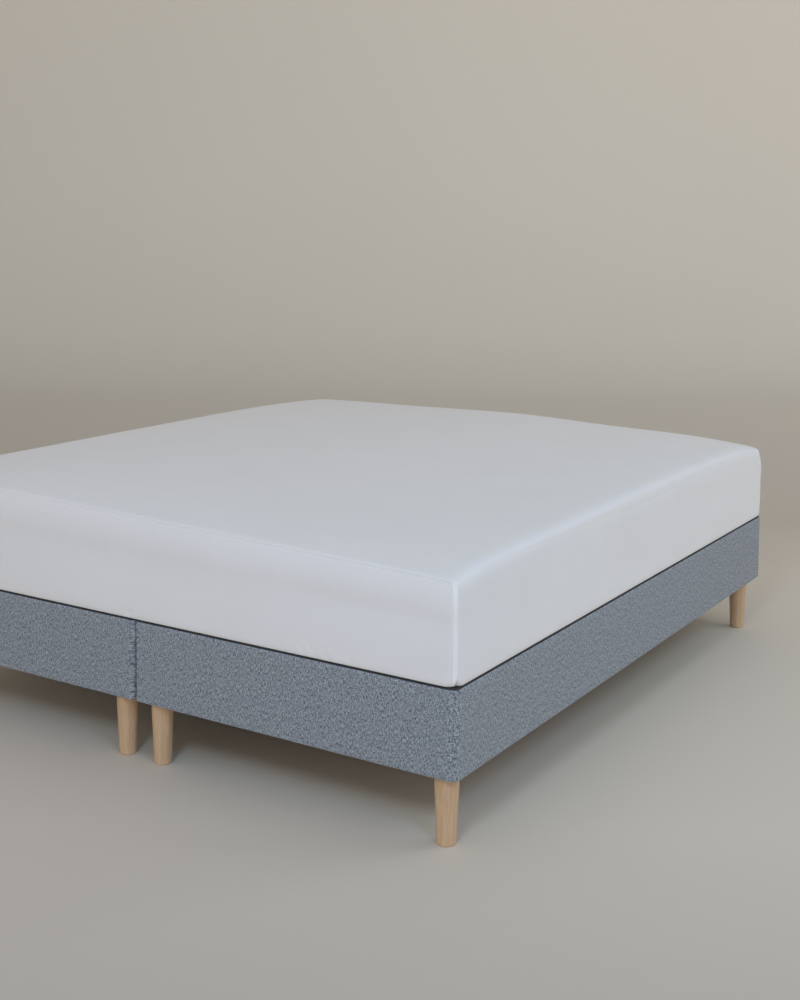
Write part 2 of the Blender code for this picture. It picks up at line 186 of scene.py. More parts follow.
# Where these lie on a side, as shares of its height. A pair of shares is a fade from one to the other.
ON_TOP = 0.9999  # rings from here up lie in the top
SEAM_FOOT, SEAM_TOP, STITCHED = (0.012, 0.09), (0.955, 0.99), (0.02, 0.985)
NOTCH_FADE = (0.0, 0.075)
GATHER_UP, GATHER_HEIGHT = 0.045, 0.05
POINT_UP, POINT_HEIGHT = 0.985, 0.035
UNEVEN_FROM, UNEVEN_TO = (0.03, 0.25), (0.85, 0.95)
FOOT_WAVE_FROM, FOOT_WAVE_TO = (0.02, 0.06), (0.10, 0.35)

# Grid of the top. Its stations run from -2 to 2: within 1 is the straight stretch of an edge, and 1 to
# 2 the corner up to its seam, so the corner steps crowd towards the seam.
CELLS_ACROSS = 44
CELLS_ALONG = 50
CORNER_STEPS = [1.0, 1.2, 1.4, 1.6, 1.73, 1.82, 1.87, 1.90, 1.92, 1.94, 1.97, 2.0]
CORNER_CELLS = [1.6, 2.0]


# ---- sizes and colours that a user may change ----------------------------------------
def length_setting(name, description, default):
    return FloatProperty(name=name, description=description, default=default, unit="LENGTH")


def colour_setting(name, description, default):
    return FloatVectorProperty(name=name, description=description, default=default, subtype="COLOR")


class SheetSizes(bpy.types.PropertyGroup):
    """Sizes of the cloth"""

    thickness: length_setting("Cloth thickness", "Thickness of the cloth", 0.0014)
    seam_width: length_setting("Seam width", "Width of the felled corner seam", 0.0076)
    seam_height: length_setting("Seam height", "How far a corner seam stands out", 0.0015)
    seam_notch: length_setting("Seam notch", "How far the seam's foot is drawn in", 0.0055)
    gather: length_setting("Gather", "Height of the small folds at the seam's foot", 0.0015)
    unevenness: length_setting("Unevenness", "Height of the soft waves in the sides", 0.0009)
    stitch_length: length_setting("Stitch length", "Length of one seam stitch", 0.0026)
    stitch_pitch: length_setting("Stitch pitch", "From one stitch to the next", 0.0034)
    stitch_thickness: length_setting("Stitch thickness", "Thickness of the sewing thread", 0.0005)


class BaseSizes(bpy.types.PropertyGroup):
    """Sizes of the upholstered sections, their deck cloth and the legs"""

    outer_radius: length_setting("Outer corner", "Radius of the outer upright corners", 0.022)
    split_radius: length_setting("Split corner", "Radius of the upright corners at the split", 0.012)
    top_radius: length_setting("Top edge", "Radius of the top edge", 0.010)
    bottom_radius: length_setting("Bottom edge", "Radius of the bottom edge", 0.003)
    softness: length_setting("Softness", "Height of the soft waves in the upholstery", 0.0005)
    deck_thickness: length_setting("Deck cloth", "Thickness of the dark deck cloth", 0.0008)
    leg_top_radius: length_setting("Leg top", "Radius of a leg at its top", 0.028)
    leg_foot_radius: length_setting("Leg foot", "Radius of a leg at its foot", 0.021)
    leg_foot_round: length_setting("Foot rounding", "Radius of the rounding at a leg's foot", 0.003)
    leg_sides: IntProperty(name="Leg sides", description="Faces round a leg", default=56, min=12)


class FinishColours(bpy.types.PropertyGroup):
    """Colours of the finishes"""

    cotton: colour_setting("Cotton", "White cotton of the top", (0.803, 0.808, 0.819))
    # painted light: the sides' cotton is given a cooler tone than the top, for the bluer light on them
    side_cotton_painted_light: colour_setting("Sides", "White cotton of the sides", (0.802, 0.828, 0.872))
    ticking: colour_setting("Ticking", "Mattress cover", (0.74, 0.72, 0.68))
    deck: colour_setting("Deck cloth", "Dark cloth over the base", (0.027, 0.028, 0.033))
    yarn_dark: colour_setting("Dark yarn", "Darker yarn of the upholstery", (0.070, 0.095, 0.130))
    yarn_pale: colour_setting("Pale yarn", "Paler yarn of the upholstery", (0.430, 0.480, 0.540))
    wood: colour_setting("Wood", "Pale wood of the legs", (0.640, 0.455, 0.290))
    wood_grain: colour_setting("Grain", "Darker grain lines of the wood", (0.420, 0.265, 0.145))
    floor: colour_setting("Floor", "Plain pale floor", (0.68, 0.615, 0.53))
    backdrop: colour_setting("Backdrop", "Plain pale backdrop", (0.787, 0.802, 0.77))


# ---- node trees ----------------------------------------------------------------------
class Value:
    """A number in a node tree. Python's operators on it add Math nodes."""

    def __init__(self, tree, socket):
        self.tree = tree
        self.socket = socket

    def math(self, operation, *values):
        sockets = dict(enumerate(values))
        node = self.tree.add("ShaderNodeMath", {"operation": operation}, sockets)
        return Value(self.tree, node.outputs[0])

    def __add__(self, other):
        return self.math("ADD", self, other)

    def __radd__(self, other):
        return self.math("ADD", other, self)

    def __sub__(self, other):
        return self.math("SUBTRACT", self, other)

    def __rsub__(self, other):
        return self.math("SUBTRACT", other, self)

    def __mul__(self, other):
        return self.math("MULTIPLY", self, other)

    def __truediv__(self, other):
        return self.math("DIVIDE", self, other)

    def __pow__(self, other):
        return self.math("POWER", self, other)

    def sine(self):
        return self.math("SINE", self)

    def absolute(self):
        return self.math("ABSOLUTE", self)

    def whole(self):
        return self.math("FLOOR", self)

    def root(self):
        return self.math("SQRT", self)

    def at_most(self, other):
        return self.math("MINIMUM", self, other)

    def at_least(self, other):
        return self.math("MAXIMUM", self, other)


class Tree:
    """A node tree whose nodes are all added by one method."""

    def __init__(self, tree):
        self.tree = tree

    def add(self, kind, settings=None, sockets=None):
        """Adds a node, makes its settings, then gives its sockets values or links."""
        node = self.tree.nodes.new(kind)
        for name, value in (settings or {}).items():
            if name == "stops":
                self.set_stops(node.color_ramp, value)
            else:
                setattr(node, name, value)
        for name, value in (sockets or {}).items():
            self.feed(node.inputs[name], value)
        return node

    def feed(self, socket, value):
        if isinstance(value, Value):
            value = value.socket
        if isinstance(value, bpy.types.NodeSocket):
            self.tree.links.new(value, socket)
        else:
            socket.default_value = value

    @staticmethod
    def set_stops(ramp, stops):
        while len(ramp.elements) < len(stops):
            ramp.elements.new(1.0)
        for element, (place, colour) in zip(ramp.elements, stops):
            element.position = place
            element.color = (*colour, 1.0)


class Finish(Tree):
    """A material with one Principled shader. Constants are set on the shader's own sockets."""

    def __init__(self, name, **constants):
        self.material = bpy.data.materials.new(name)
        self.material.use_nodes = True
        super().__init__(self.material.node_tree)
        self.shader = self.tree.nodes["Principled BSDF"]
        for name, value in constants.items():
            self.shader.inputs[name.replace("_", " ").title()].default_value = value

    def place(self):
        """Object coordinates as three numbers."""
        return self.split(self.add("ShaderNodeTexCoord").outputs["Object"])

    def split(self, vector):
        parts = self.add("ShaderNodeSeparateXYZ", sockets={0: vector}).outputs
        return [Value(self, part) for part in parts]

    def cloth_place(self):
        """Place on the flat cloth, in metres, as two numbers."""
        return self.split(self.add("ShaderNodeUVMap", {"uv_map": FLAT_CLOTH}).outputs[0])[:2]

    def vector(self, x, y, z=0.0):
        return self.add("ShaderNodeCombineXYZ", sockets={0: x, 1: y, 2: z}).outputs[0]

    def noise(self, x, y, z=0.0, detail=2.0, roughness=0.5):
        """Soft noise. What its place is multiplied by is about the number of swells in a metre."""
        place = self.vector(x, y, z)
        sockets = {"Vector": place, "Scale": 1.0, "Detail": detail, "Roughness": roughness}
        return Value(self, self.add("ShaderNodeTexNoise", sockets=sockets).outputs["Fac"])

    def chance(self, x, y):
        """A random number of its own for each place."""
        node = self.add("ShaderNodeTexWhiteNoise", sockets={"Vector": self.vector(x, y)})
        return Value(self, node.outputs["Value"])

    def ramp(self, value, low, high):
        """0 below low and 1 above high, smoothly between."""
        node = self.add(
            "ShaderNodeMapRange", {"interpolation_type": "SMOOTHSTEP"},
            {"Value": value, "From Min": low, "From Max": high},
        )
        return Value(self, node.outputs[0])

    def blend(self, share, first, second, way="MIX"):
        """Mixes two colours by a share."""
        node = self.add(
            "ShaderNodeMix", {"data_type": "RGBA", "blend_type": way},
            {0: share, 6: self.colour(first), 7: self.colour(second)},
        )
        return node.outputs[2]

    @staticmethod
    def colour(value):
        return value if isinstance(value, bpy.types.NodeSocket) else (*value[:3], 1.0)

    def emboss(self, height, distance, strength=1.0, over=None):
        """Feeds a height in shares of a distance to the shader's normal, over an earlier one."""
        sockets = {"Height": height, "Distance": distance, "Strength": strength}
        if over is not None:
            sockets["Normal"] = over
        node = self.add("ShaderNodeBump", sockets=sockets)
        self.feed(self.shader.inputs["Normal"], node.outputs[0])
        return node.outputs[0]

    def look(self, colour, roughness=None):
        """Feeds the shader's colour, and its roughness where that varies, and gives the material."""
        self.feed(self.shader.inputs["Base Color"], colour)
        if roughness is not None:
            self.feed(self.shader.inputs["Roughness"], roughness)
        return self.material


def once(make):
    """A finish that is made the first time it is asked for."""
    made = {}

    def kept(colours):
        if make not in made:
            made[make] = make(colours)
        return made[make]

    return kept


# ---- finishes ------------------------------------------------------------------------
@once
def white_cotton(colours):
    """Fine plain-woven cotton with faint slubs, and small wrinkles where it turns under. Painted light
    makes its sides cooler and its seam ribbons paler.
    """
    finish = Finish("white_cotton", roughness=0.82, sheen_weight=0.12, sheen_roughness=0.45)
    across, along = finish.cloth_place()
    x, y, z = finish.place()
    weave_pitch = 0.0011
    warp = (across * (math.tau / weave_pitch)).sine()
    weft = (along * (math.tau / weave_pitch)).sine()
    slubs_per_metre, slub_ends_per_metre = 480, 26
    slub_across = finish.noise(across * slub_ends_per_metre, along * slubs_per_metre, detail=1.0)
    slub_along = finish.noise(across * slubs_per_metre, along * slub_ends_per_metre, detail=1.0)
    cloud = finish.noise(across * 5, along * 5, detail=3.0)
    thread = slub_across * 0.5 + slub_along * 0.5

    # Painted light: the sides are painted a little cooler than the top, for the bluer light that falls
    # on them. The change lies on the rounded edges.
    outside, beyond = x.absolute() - HALF_WIDTH, y.absolute() - HALF_LENGTH
    over_edge = finish.ramp(outside, -0.040, -0.012).at_least(finish.ramp(beyond, -0.020, -0.006))
    plain = finish.blend(over_edge, tuple(colours.cotton), tuple(colours.side_cotton_painted_light))
    darker, paler, seam_painted_highlight = (0.93, 0.93, 0.93), (1.06, 1.06, 1.06), (1.105, 1.10, 1.09)
    shade = finish.blend(thread * 0.6 + cloud * 0.4, darker, paler)
    # Painted highlight: the raised seam ribbon is painted paler, as if it caught more light.
    from_seam = (outside - beyond).absolute()
    on_seam = finish.ramp(from_seam, 0.0090, 0.0045) * finish.ramp(outside + beyond, -0.040, -0.026)
    shade = finish.blend(on_seam, shade, seam_painted_highlight)
    tone = finish.blend(1.0, plain, shade, "MULTIPLY")

    near_hem = 1 - finish.ramp(z, SHEET_BOTTOM + 0.006, SHEET_BOTTOM + 0.050)
    wrinkle = finish.noise(across * 55, along * 55, z * 12, detail=2.0)
    crumple = finish.noise(across * 11, along * 11, detail=3.0, roughness=0.55)
    soft = finish.emboss(wrinkle * near_hem * 0.8 + crumple * 0.35, 0.0016, 0.45)
    finish.emboss(warp * weft * 0.25 + thread, 0.00012, 0.35, over=soft)
    return finish.look(tone)


@once
def mattress_ticking(colours):
    """Knitted cover with a soft diamond quilting and fine ribs."""
    finish = Finish("mattress_ticking", roughness=0.88, sheen_weight=0.1)
    x, y, z = finish.place()
    quilt_pitch, rib_pitch, flecks_per_metre = 0.11, 0.004, 300
    one = ((x + y) * (math.pi / quilt_pitch)).sine().absolute()
    other = ((x - y) * (math.pi / quilt_pitch)).sine().absolute()
    puff = one.at_most(other) ** 0.35
    rib = (z * (math.tau / rib_pitch)).sine()
    fleck = finish.noise(x * flecks_per_metre, y * flecks_per_metre, z * flecks_per_metre, detail=1.0)
    shaded = tuple(0.86 * part for part in colours.ticking)
    tone = finish.blend(puff * 0.7 + fleck * 0.3, shaded, tuple(colours.ticking))
    soft = finish.emboss(puff, 0.004, 0.6)
    finish.emboss(rib * 0.5 + fleck, 0.0003, 0.5, over=soft)
    return finish.look(tone)


@once
def black_deck_cloth(colours):
    """Black non-woven cloth: short fibres pressed flat, matte."""
    finish = Finish("black_deck_cloth", roughness=0.95)
    x, y, z = finish.place()
    fibre = finish.noise(x * 700, y * 700, z * 700, detail=3.0, roughness=0.7)
    patch = finish.noise(x * 60, y * 60, z * 60, detail=2.0)
    grey = tuple(2.6 * part for part in colours.deck)
    share = finish.ramp(fibre * 0.7 + patch * 0.3, 0.45, 0.75)
    finish.emboss(fibre, 0.0003, 0.6)
    return finish.look(finish.blend(share, tuple(colours.deck), grey))


@once
def grey_blue_upholstery(colours):
    """Plain weave of flecked yarns. Each yarn drifts in tone along its run."""
    finish = Finish("grey_blue_upholstery", roughness=0.92, sheen_weight=0.15, sheen_roughness=0.5)
    along, up = finish.cloth_place()
    fine_yarn, yarn, run = 0.0015, 0.0021, 0.0075
    warp = finish.noise(along / yarn, up / run, detail=0.0)
    weft = finish.noise(along / run, up / yarn, 9.0, detail=0.0)
    fleck = finish.noise(along / yarn, up / yarn, 4.0, detail=1.0)
    crossing = finish.chance((along / fine_yarn).whole(), (up / fine_yarn).whole())
    share = warp * 1.05 + weft * 0.55 + fleck * 1.0 + crossing * 0.50 - 1.05
    tone = finish.blend(
        finish.ramp(share, -0.05, 1.05), tuple(colours.yarn_dark), tuple(colours.yarn_pale)
    )
    cloud = finish.noise(along * 24, up * 24, 1.7, detail=2.0)
    over_under = math.pi / fine_yarn
    crown = (along * over_under).sine().absolute() * (up * over_under).sine().absolute()
    soft = finish.emboss(cloud, 0.0010, 0.25)
    finish.emboss(crown * 0.4 + share * 0.6, 0.0006, 0.5, over=soft)
    return finish.look(tone)


@once
def pale_oak(colours):
    """Pale wood with a fine upright grain, small pores and a satin lacquer."""
    finish = Finish("pale_oak", roughness=0.45, coat_weight=0.08, coat_roughness=0.35)
    x, y, z = finish.place()
    bend = finish.noise(x * 14, y * 14, z * 9, detail=1.0) * 0.006
    bent_x, bent_y = x + bend, y + bend
    streak = finish.noise(bent_x * 520, bent_y * 520, z * 13, detail=3.0, roughness=0.6)
    broad = finish.noise(bent_x * 110, bent_y * 110, z * 5, detail=2.0)
    pores = finish.ramp(finish.noise(x * 1500, y * 1500, z * 95, detail=1.0), 0.66, 0.78)
    share = finish.ramp(streak * 0.6 + broad * 0.4, 0.40, 0.66)
    tone = finish.blend(share * 0.55, tuple(colours.wood), tuple(colours.wood_grain))
    tone = finish.blend(pores * 0.35, tone, tuple(0.5 * part for part in colours.wood_grain))
    finish.emboss(streak * 0.5 - pores * 0.8, 0.0003, 0.4)
    return finish.look(tone, 0.42 + share * 0.12)


# Tones of the floor from near the camera to the backdrop: how far behind the bed's middle, how much of
# the backdrop's colour, and the painted brightness. That column is painted light and shade: darker near
# the camera, with a painted shadow band just behind the bed.
Tone = namedtuple("Tone", "behind paper brightness")
FLOOR_TONES = [
    Tone(-1.9, 0.0, 0.86), Tone(-1.2, 0.0, 1.03), Tone(1.0, 0.0, 1.00), Tone(1.8, 0.0, 0.83),
    Tone(3.0, 0.3, 0.855), Tone(4.5, 0.5, 0.90), Tone(5.6, 0.65, 0.915), Tone(6.6, 0.9, 0.955),
    Tone(7.9, 1.0, 0.955),
]


@once
def floor_paint(colours):
    """Matte floor that becomes a paler backdrop behind the bed, with painted light and shade in its
    colour.
    """
    finish = Finish("floor_paint", roughness=0.7)
    x, y, z = finish.place()
    back_x, back_y = BACKWARD
    behind, aside = x * back_x + y * back_y, x * back_y - y * back_x
    near, far = FLOOR_TONES[0].behind, FLOOR_TONES[-1].behind
    stops = []
    for tone in FLOOR_TONES:
        mixed = (
            tone.brightness * (floor + (paper - floor) * tone.paper)
            for floor, paper in zip(colours.floor, colours.backdrop)
        )
        stops.append(((tone.behind - near) / (far - near), tuple(mixed)))
    share = (behind - near) / (far - near)
    painted = finish.add("ShaderNodeValToRGB", {"stops": stops}, {0: share}).outputs[0]
    cloud = finish.noise(x * 0.9, y * 0.9, detail=3.0)
    # Painted light: paler to the right and higher up. The cloud is a random tone.
    light = 0.985 + aside * 0.026 + z.at_least(0.0) * 0.015 + cloud * 0.03  # paler to the right and up
    grey = finish.add("ShaderNodeCombineColor", sockets={0: light, 1: light, 2: light}).outputs[0]
    return finish.look(finish.blend(1.0, painted, grey, "MULTIPLY"))


# ---- helpers -------------------------------------------------------------------------
def add_object(name, data):
    made = bpy.data.objects.new(name, data)
    bpy.context.scene.collection.objects.link(made)
    return made


def plain_mesh(maker):
    """Mesh of an object as its modifiers leave it."""
    graph = bpy.context.evaluated_depsgraph_get()
    return bpy.data.meshes.new_from_object(maker.evaluated_get(graph))


def add_piece(name, mesh, material, replaced=()):
    """Puts a finished mesh in the scene as a piece that rides on the bed."""
    piece = add_object(name, mesh)
    mesh.materials.clear()
    mesh.materials.append(material)
    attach(piece, BODY)
    if replaced:
        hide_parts(*replaced)
    return piece


def give_thickness(piece, thickness):
    """Thickens a cloth inwards."""
    wall = piece.modifiers.new("Cloth thickness", "SOLIDIFY")
    wall.thickness = thickness
    wall.offset = -1.0


def to_mesh(bm, name, sharp_angle=math.radians(40)):
    mesh = bpy.data.meshes.new(name)
    bm.to_mesh(mesh)
    bm.free()
    mesh.shade_smooth()
    mesh.set_sharp_from_angle(angle=sharp_angle)
    return mesh


def curve_value(rows, at):
    """Smooth curve through a table of rises."""
    at = min(max(at, rows[0].at), rows[-1].at)
    i = max(k for k in range(len(rows) - 1) if rows[k].at <= at)
    a, b = rows[i], rows[i + 1]
    before, after = rows[max(i - 1, 0)], rows[min(i + 2, len(rows) - 1)]
    span = b.at - a.at
    slope_a = (b.height - before.height) / (b.at - before.at)
    slope_b = (after.height - a.height) / (after.at - a.at)
    return hermite((at - a.at) / span, a.height, b.height, span * slope_a, span * slope_b)


def hermite(t, a, b, slope_a, slope_b):
    """Smooth curve from a to b with a slope at each end, at a share t of the way."""
    return (
        (2 * t**3 - 3 * t**2 + 1) * a + (t**3 - 2 * t**2 + t) * slope_a
        + (3 * t**2 - 2 * t**3) * b + (t**3 - t**2) * slope_b
    )


def smooth_step(value, low, high):
    t = min(max((value - low) / (high - low), 0.0), 1.0)
    return t * t * (3 - 2 * t)


def bell(away):
    return math.exp(-(away**2))


def join_loops(bm, loops, flat, place):
    """Faces between loops of points, from the top down.

    The place on the flat cut of a face's corner comes from the face, the corner's column and its row.
    """
    count = len(loops[0])
    for k, (upper, lower) in enumerate(zip(loops, loops[1:])):
        for i in range(count):
            j = (i + 1) % count
            made = bm.faces.new((upper[i], lower[i], lower[j], upper[j]))
            corners = ((i, k), (i, k + 1), (i + 1, k + 1), (i + 1, k))
            for loop, (column, row) in zip(made.loops, corners):
                loop[flat].uv = place(i, column, row)


def add_level_face(bm, flat, points):
    """Face that lies on the flat cut as it lies in plan."""
    for loop in bm.faces.new(points).loops:
        loop[flat].uv = loop.vert.co.x, loop.vert.co.y


def top_height(x, y):
    """Top of the cloth: a surface drawn between its four edges, with a low crown."""
    across, along = x / HALF_WIDTH, y / HALF_LENGTH
    s, t = (across + 1) / 2, (along + 1) / 2
    between_ends = (1 - t) * curve_value(FOOT_EDGE, across) + t * curve_value(HEAD_EDGE, across)
    between_sides = (1 - s) * curve_value(LEFT_EDGE, along) + s * curve_value(RIGHT_EDGE, along)
    foot = (1 - s) * FOOT_EDGE[0].height + s * FOOT_EDGE[-1].height
    head = (1 - s) * HEAD_EDGE[0].height + s * HEAD_EDGE[-1].height
    between_corners = (1 - t) * foot + t * head
    crown = CROWN * math.sin(math.pi * s) * math.sin(math.pi * t)
    return between_ends + between_sides - between_corners + crown


def corner_turn(over_x, over_y):
    """Direction round a corner, from 0 facing the end to 90 degrees facing the long side."""
    if over_y >= over_x:
        return SEAM_ANGLE * over_x / over_y if over_y else 0.0
    return SEAM_ANGLE + (math.pi / 2 - SEAM_ANGLE) * (1 - over_y / over_x)


def plan_place(station_x, station_y, half_x, half_y, radius):
    """Place in plan of a grid station on a rounded rectangle."""
    over_x, over_y = max(abs(station_x) - 1, 0.0), max(abs(station_y) - 1, 0.0)
    reach = radius * max(over_x, over_y)
    turn = corner_turn(over_x, over_y)
    x = min(abs(station_x), 1.0) * (half_x - radius) + reach * math.sin(turn)
    y = min(abs(station_y), 1.0) * (half_y - radius) + reach * math.cos(turn)
    return math.copysign(x, station_x), math.copysign(y, station_y), turn


def run_down(up, inset, start):
    """How far down the cloth each ring lies."""
    run = [start]
    for i in range(len(up) - 1):
        run.append(run[-1] + math.hypot((up[i] - up[i + 1]) * NOMINAL_SIDE, inset[i] - inset[i + 1]))
    return run


def ring_slopes(places, values):
    """Slope at each ring of a curve through its values."""
    slopes = []
    for i in range(len(values)):
        low, high = max(i - 1, 0), min(i + 1, len(values) - 1)
        slopes.append((values[high] - values[low]) / (places[high] - places[low]))
    return slopes


def smooth_rings(rings):
    """Rings with the rows between them filled in along smooth curves. Each keeps its own name."""
    curves = {}
    for way in ("end", "side"):
        up = [getattr(ring, f"{way}_up") for ring in rings]
        inset = [getattr(ring, f"{way}_inset") for ring in rings]
        run = run_down(up, inset, 0.0)
        for field, values in ((f"{way}_up", up), (f"{way}_inset", inset)):
            curves[field] = (run, values, ring_slopes(run, values))
        if way == "end":
            radii = [ring.corner_radius for ring in rings]
            curves["corner_radius"] = (run, radii, ring_slopes(run, radii))
    filled = []
    for i, ring in enumerate(rings[:-1]):
        for step in range(ring.cells):
            t = step / ring.cells
            numbers = {}
            for field, (run, values, slopes) in curves.items():
                span = run[i + 1] - run[i]
                numbers[field] = hermite(
                    t, values[i], values[i + 1], span * slopes[i], span * slopes[i + 1]
                )
            for field in ("end_up", "side_up"):
                numbers[field] = min(max(numbers[field], 0.0), 1.0)
            filled.append(ring._replace(**numbers))
    return filled + [rings[-1]]


# ---- the stretched cloth -------------------------------------------------------------
def coarse_stations(cells):
    """Stations of the top's grid from seam to seam."""
    straight = [2 * i / cells - 1 for i in range(cells + 1)]
    return [-s for s in reversed(CORNER_CELLS)] + straight + CORNER_CELLS


def crowded(face, low, high, half):
    """Whether a small dent lies between two stations of a face."""
    return any(
        dent.face == face and dent.spread_along < SMALL_DENT
        and low * half - SMALL_DENT < dent.along < high * half + SMALL_DENT
        for dent in DENTS
    )


def fine_between(low, high, face, half, plain):
    """Stations strictly between two of the grid's, along a face of the sides."""
    near, far = sorted((abs(low), abs(high)))
    if far > 1:
        steps = [step for step in CORNER_STEPS if near < step < far]
        return steps if low > 0 else [-step for step in reversed(steps)]
    parts = CLOSE_PARTS if not plain and crowded(face, low, high, half) else PLAIN_PARTS
    return [low + (high - low) * i / parts for i in range(1, parts)]


def fine_stations(stations, face, half, plain):
    found = []
    for low, high in zip(stations, stations[1:]):
        found += [low, *fine_between(low, high, face, half, plain)]
    return found


def perimeter(columns, rows, plain):
    """Stations round the edge, anticlockwise from above, from the corner between left and foot."""
    back_columns, back_rows = ([-s for s in reversed(stations)] for stations in (columns, rows))
    foot = [("foot", s, -2.0) for s in fine_stations(columns, "foot", HALF_WIDTH, plain)]
    right = [("right", 2.0, s) for s in fine_stations(rows, "right", HALF_LENGTH, plain)]
    head = [("head", -s, 2.0) for s in fine_stations(back_columns, "head", HALF_WIDTH, plain)]
    left = [("left", -2.0, -s) for s in fine_stations(back_rows, "left", HALF_LENGTH, plain)]
    return foot + right + head + left


def side_dents(face, along, height):
    """How far the hollows and puckers draw a point of a face in."""
    depth = 0.0
    for dent in DENTS:
        if dent.face == face:
            middle = dent.along + dent.lean * (height - dent.height)
            away, above = (along - middle) / dent.spread_along, (height - dent.height) / dent.spread_up
            if abs(away) < 3 and abs(above) < 3:
                depth += dent.depth * bell(away) * bell(above)
    return depth


def side_swell(face, x, y, z, up, top, from_seam, sizes):
    """How far the cloth stands out of its plain ring at a point of the sides."""
    along = x if face in ("foot", "head") else y
    seam_shape = math.exp(-((2 * from_seam / sizes.seam_width) ** 4))
    below_top = 0.80 + 0.20 * (1 - smooth_step(up, *SEAM_TOP))
    swell = sizes.seam_height * seam_shape * smooth_step(up, *SEAM_FOOT) * below_top
    swell -= sizes.seam_notch * bell(from_seam / NOTCH_WIDTH) * (1 - smooth_step(up, *NOTCH_FADE))
    gathers = math.cos(math.tau * from_seam / GATHER_PITCH + math.pi) * bell(from_seam / GATHER_SPREAD)
    swell += sizes.gather * gathers * bell((up - GATHER_UP) / GATHER_HEIGHT)
    swell += CORNER_POINT * bell(from_seam / POINT_SPREAD) * bell((up - POINT_UP) / POINT_HEIGHT)
    inside = smooth_step(from_seam, 0.0, SEAM_REACH)
    swell -= side_dents(face, along, z) * inside
    if face in ("right", "left"):
        drop = curve_value(SIDE_CREASE, along / HALF_LENGTH)
        swell -= SIDE_CREASE_DEPTH * bell((top - drop - z) / SIDE_CREASE_WIDTH) * inside
    free = smooth_step(up, *UNEVEN_FROM) * (1 - smooth_step(up, *UNEVEN_TO))
    broad = noise.noise(Vector((x * 4.0, y * 4.0, z * 11.0)))
    small = noise.noise(Vector((x * 13.0 + 5, y * 13.0, z * 24.0)))
    swell += sizes.unevenness * free * (0.75 * broad + 0.35 * small)
    low_free = smooth_step(up, *FOOT_WAVE_FROM) * (1 - smooth_step(up, *FOOT_WAVE_TO))
    swell += FOOT_WAVE * low_free * noise.noise(Vector((x * 30.0, y * 30.0, z * 12.0)))
    return swell


def top_swell(x, y):
    """Faint long waves in the top, none near its edges."""
    inside = smooth_step(HALF_WIDTH - abs(x), 0.05, 0.25)
    inside *= smooth_step(HALF_LENGTH - abs(y), 0.05, 0.25)
    return TOP_WAVE * inside * noise.noise(Vector((x * 2.2, y * 3.1, 0.7)))


def cloth_point(face, station_x, station_y, ring, bottom, drop, sizes=None):
    """Place of a point of a ring, with its unevenness where sizes are given."""
    x, y, turn = plan_place(
        station_x, station_y, HALF_WIDTH - ring.side_inset, HALF_LENGTH - ring.end_inset,
        ring.corner_radius,
    )
    up = ring.end_up + (ring.side_up - ring.end_up) * math.sin(turn) ** 2
    top = top_height(x, y) - drop
    z = bottom + up * (top - bottom)
    if sizes is None:
        return Vector((x, y, z))
    if up >= ON_TOP:
        return Vector((x, y, z + top_swell(x, y)))
    beyond = (1 - min(abs(station_x), 1.0)) * HALF_WIDTH + (1 - min(abs(station_y), 1.0)) * HALF_LENGTH
    from_seam = ring.corner_radius * abs(turn - SEAM_ANGLE) + beyond
    outward = Vector((math.copysign(math.sin(turn), x), math.copysign(math.cos(turn), y), 0.0))
    swell = 0.0
    if up > 0:
        swell = side_swell(face, x, y, z, up, top, from_seam, sizes)
    elif ring.name == "on the deck":
        swell = -sizes.seam_notch * bell(from_seam / NOTCH_WIDTH)
    return Vector((x, y, z)) + outward * swell


def flat_place(face, ring_run, station_x, station_y):
    """Place on the flat cut of a point of a side: along the edge, and down from the top's edge."""
    side = face in ("right", "left")
    station, half = (station_y, HALF_LENGTH) if side else (station_x, HALF_WIDTH)
    over = max(abs(station) - 1, 0.0)
    along = math.copysign(
        min(abs(station), 1.0) * (half - FLAT_CORNER) + over * FLAT_CORNER, station
    )
    sign = -1 if face in ("foot", "left") else 1
    if side:
        return sign * (HALF_WIDTH + ring_run), along
    return along, sign * (HALF_LENGTH + ring_run)


def stretched_shell(rings, bottom, drop, cells_across, cells_along, sizes=None):
    """Cloth of one coarse grid for the top, and fine rings from near its edge down and under."""
    bm = bmesh.new()
    flat = bm.loops.layers.uv.new(FLAT_CLOTH)
    columns, rows = coarse_stations(cells_across), coarse_stations(cells_along)
    edge = perimeter(columns, rows, plain=sizes is None)
    filled = smooth_rings(rings)
    runs = run_down(
        [ring.end_up for ring in filled], [ring.end_inset for ring in filled], -filled[0].end_inset
    )
    loops = []
    for ring in filled:
        loops.append([
            bm.verts.new(cloth_point(face, sx, sy, ring, bottom, drop, sizes)) for face, sx, sy in edge
        ])
    add_top(bm, flat, columns, rows, edge, loops[0], filled[0], drop, sizes)

    def place(i, column, row):
        _, sx, sy = edge[column % len(edge)]
        return flat_place(edge[i][0], runs[row], sx, sy)

    join_loops(bm, loops, flat, place)
    return bm, loops


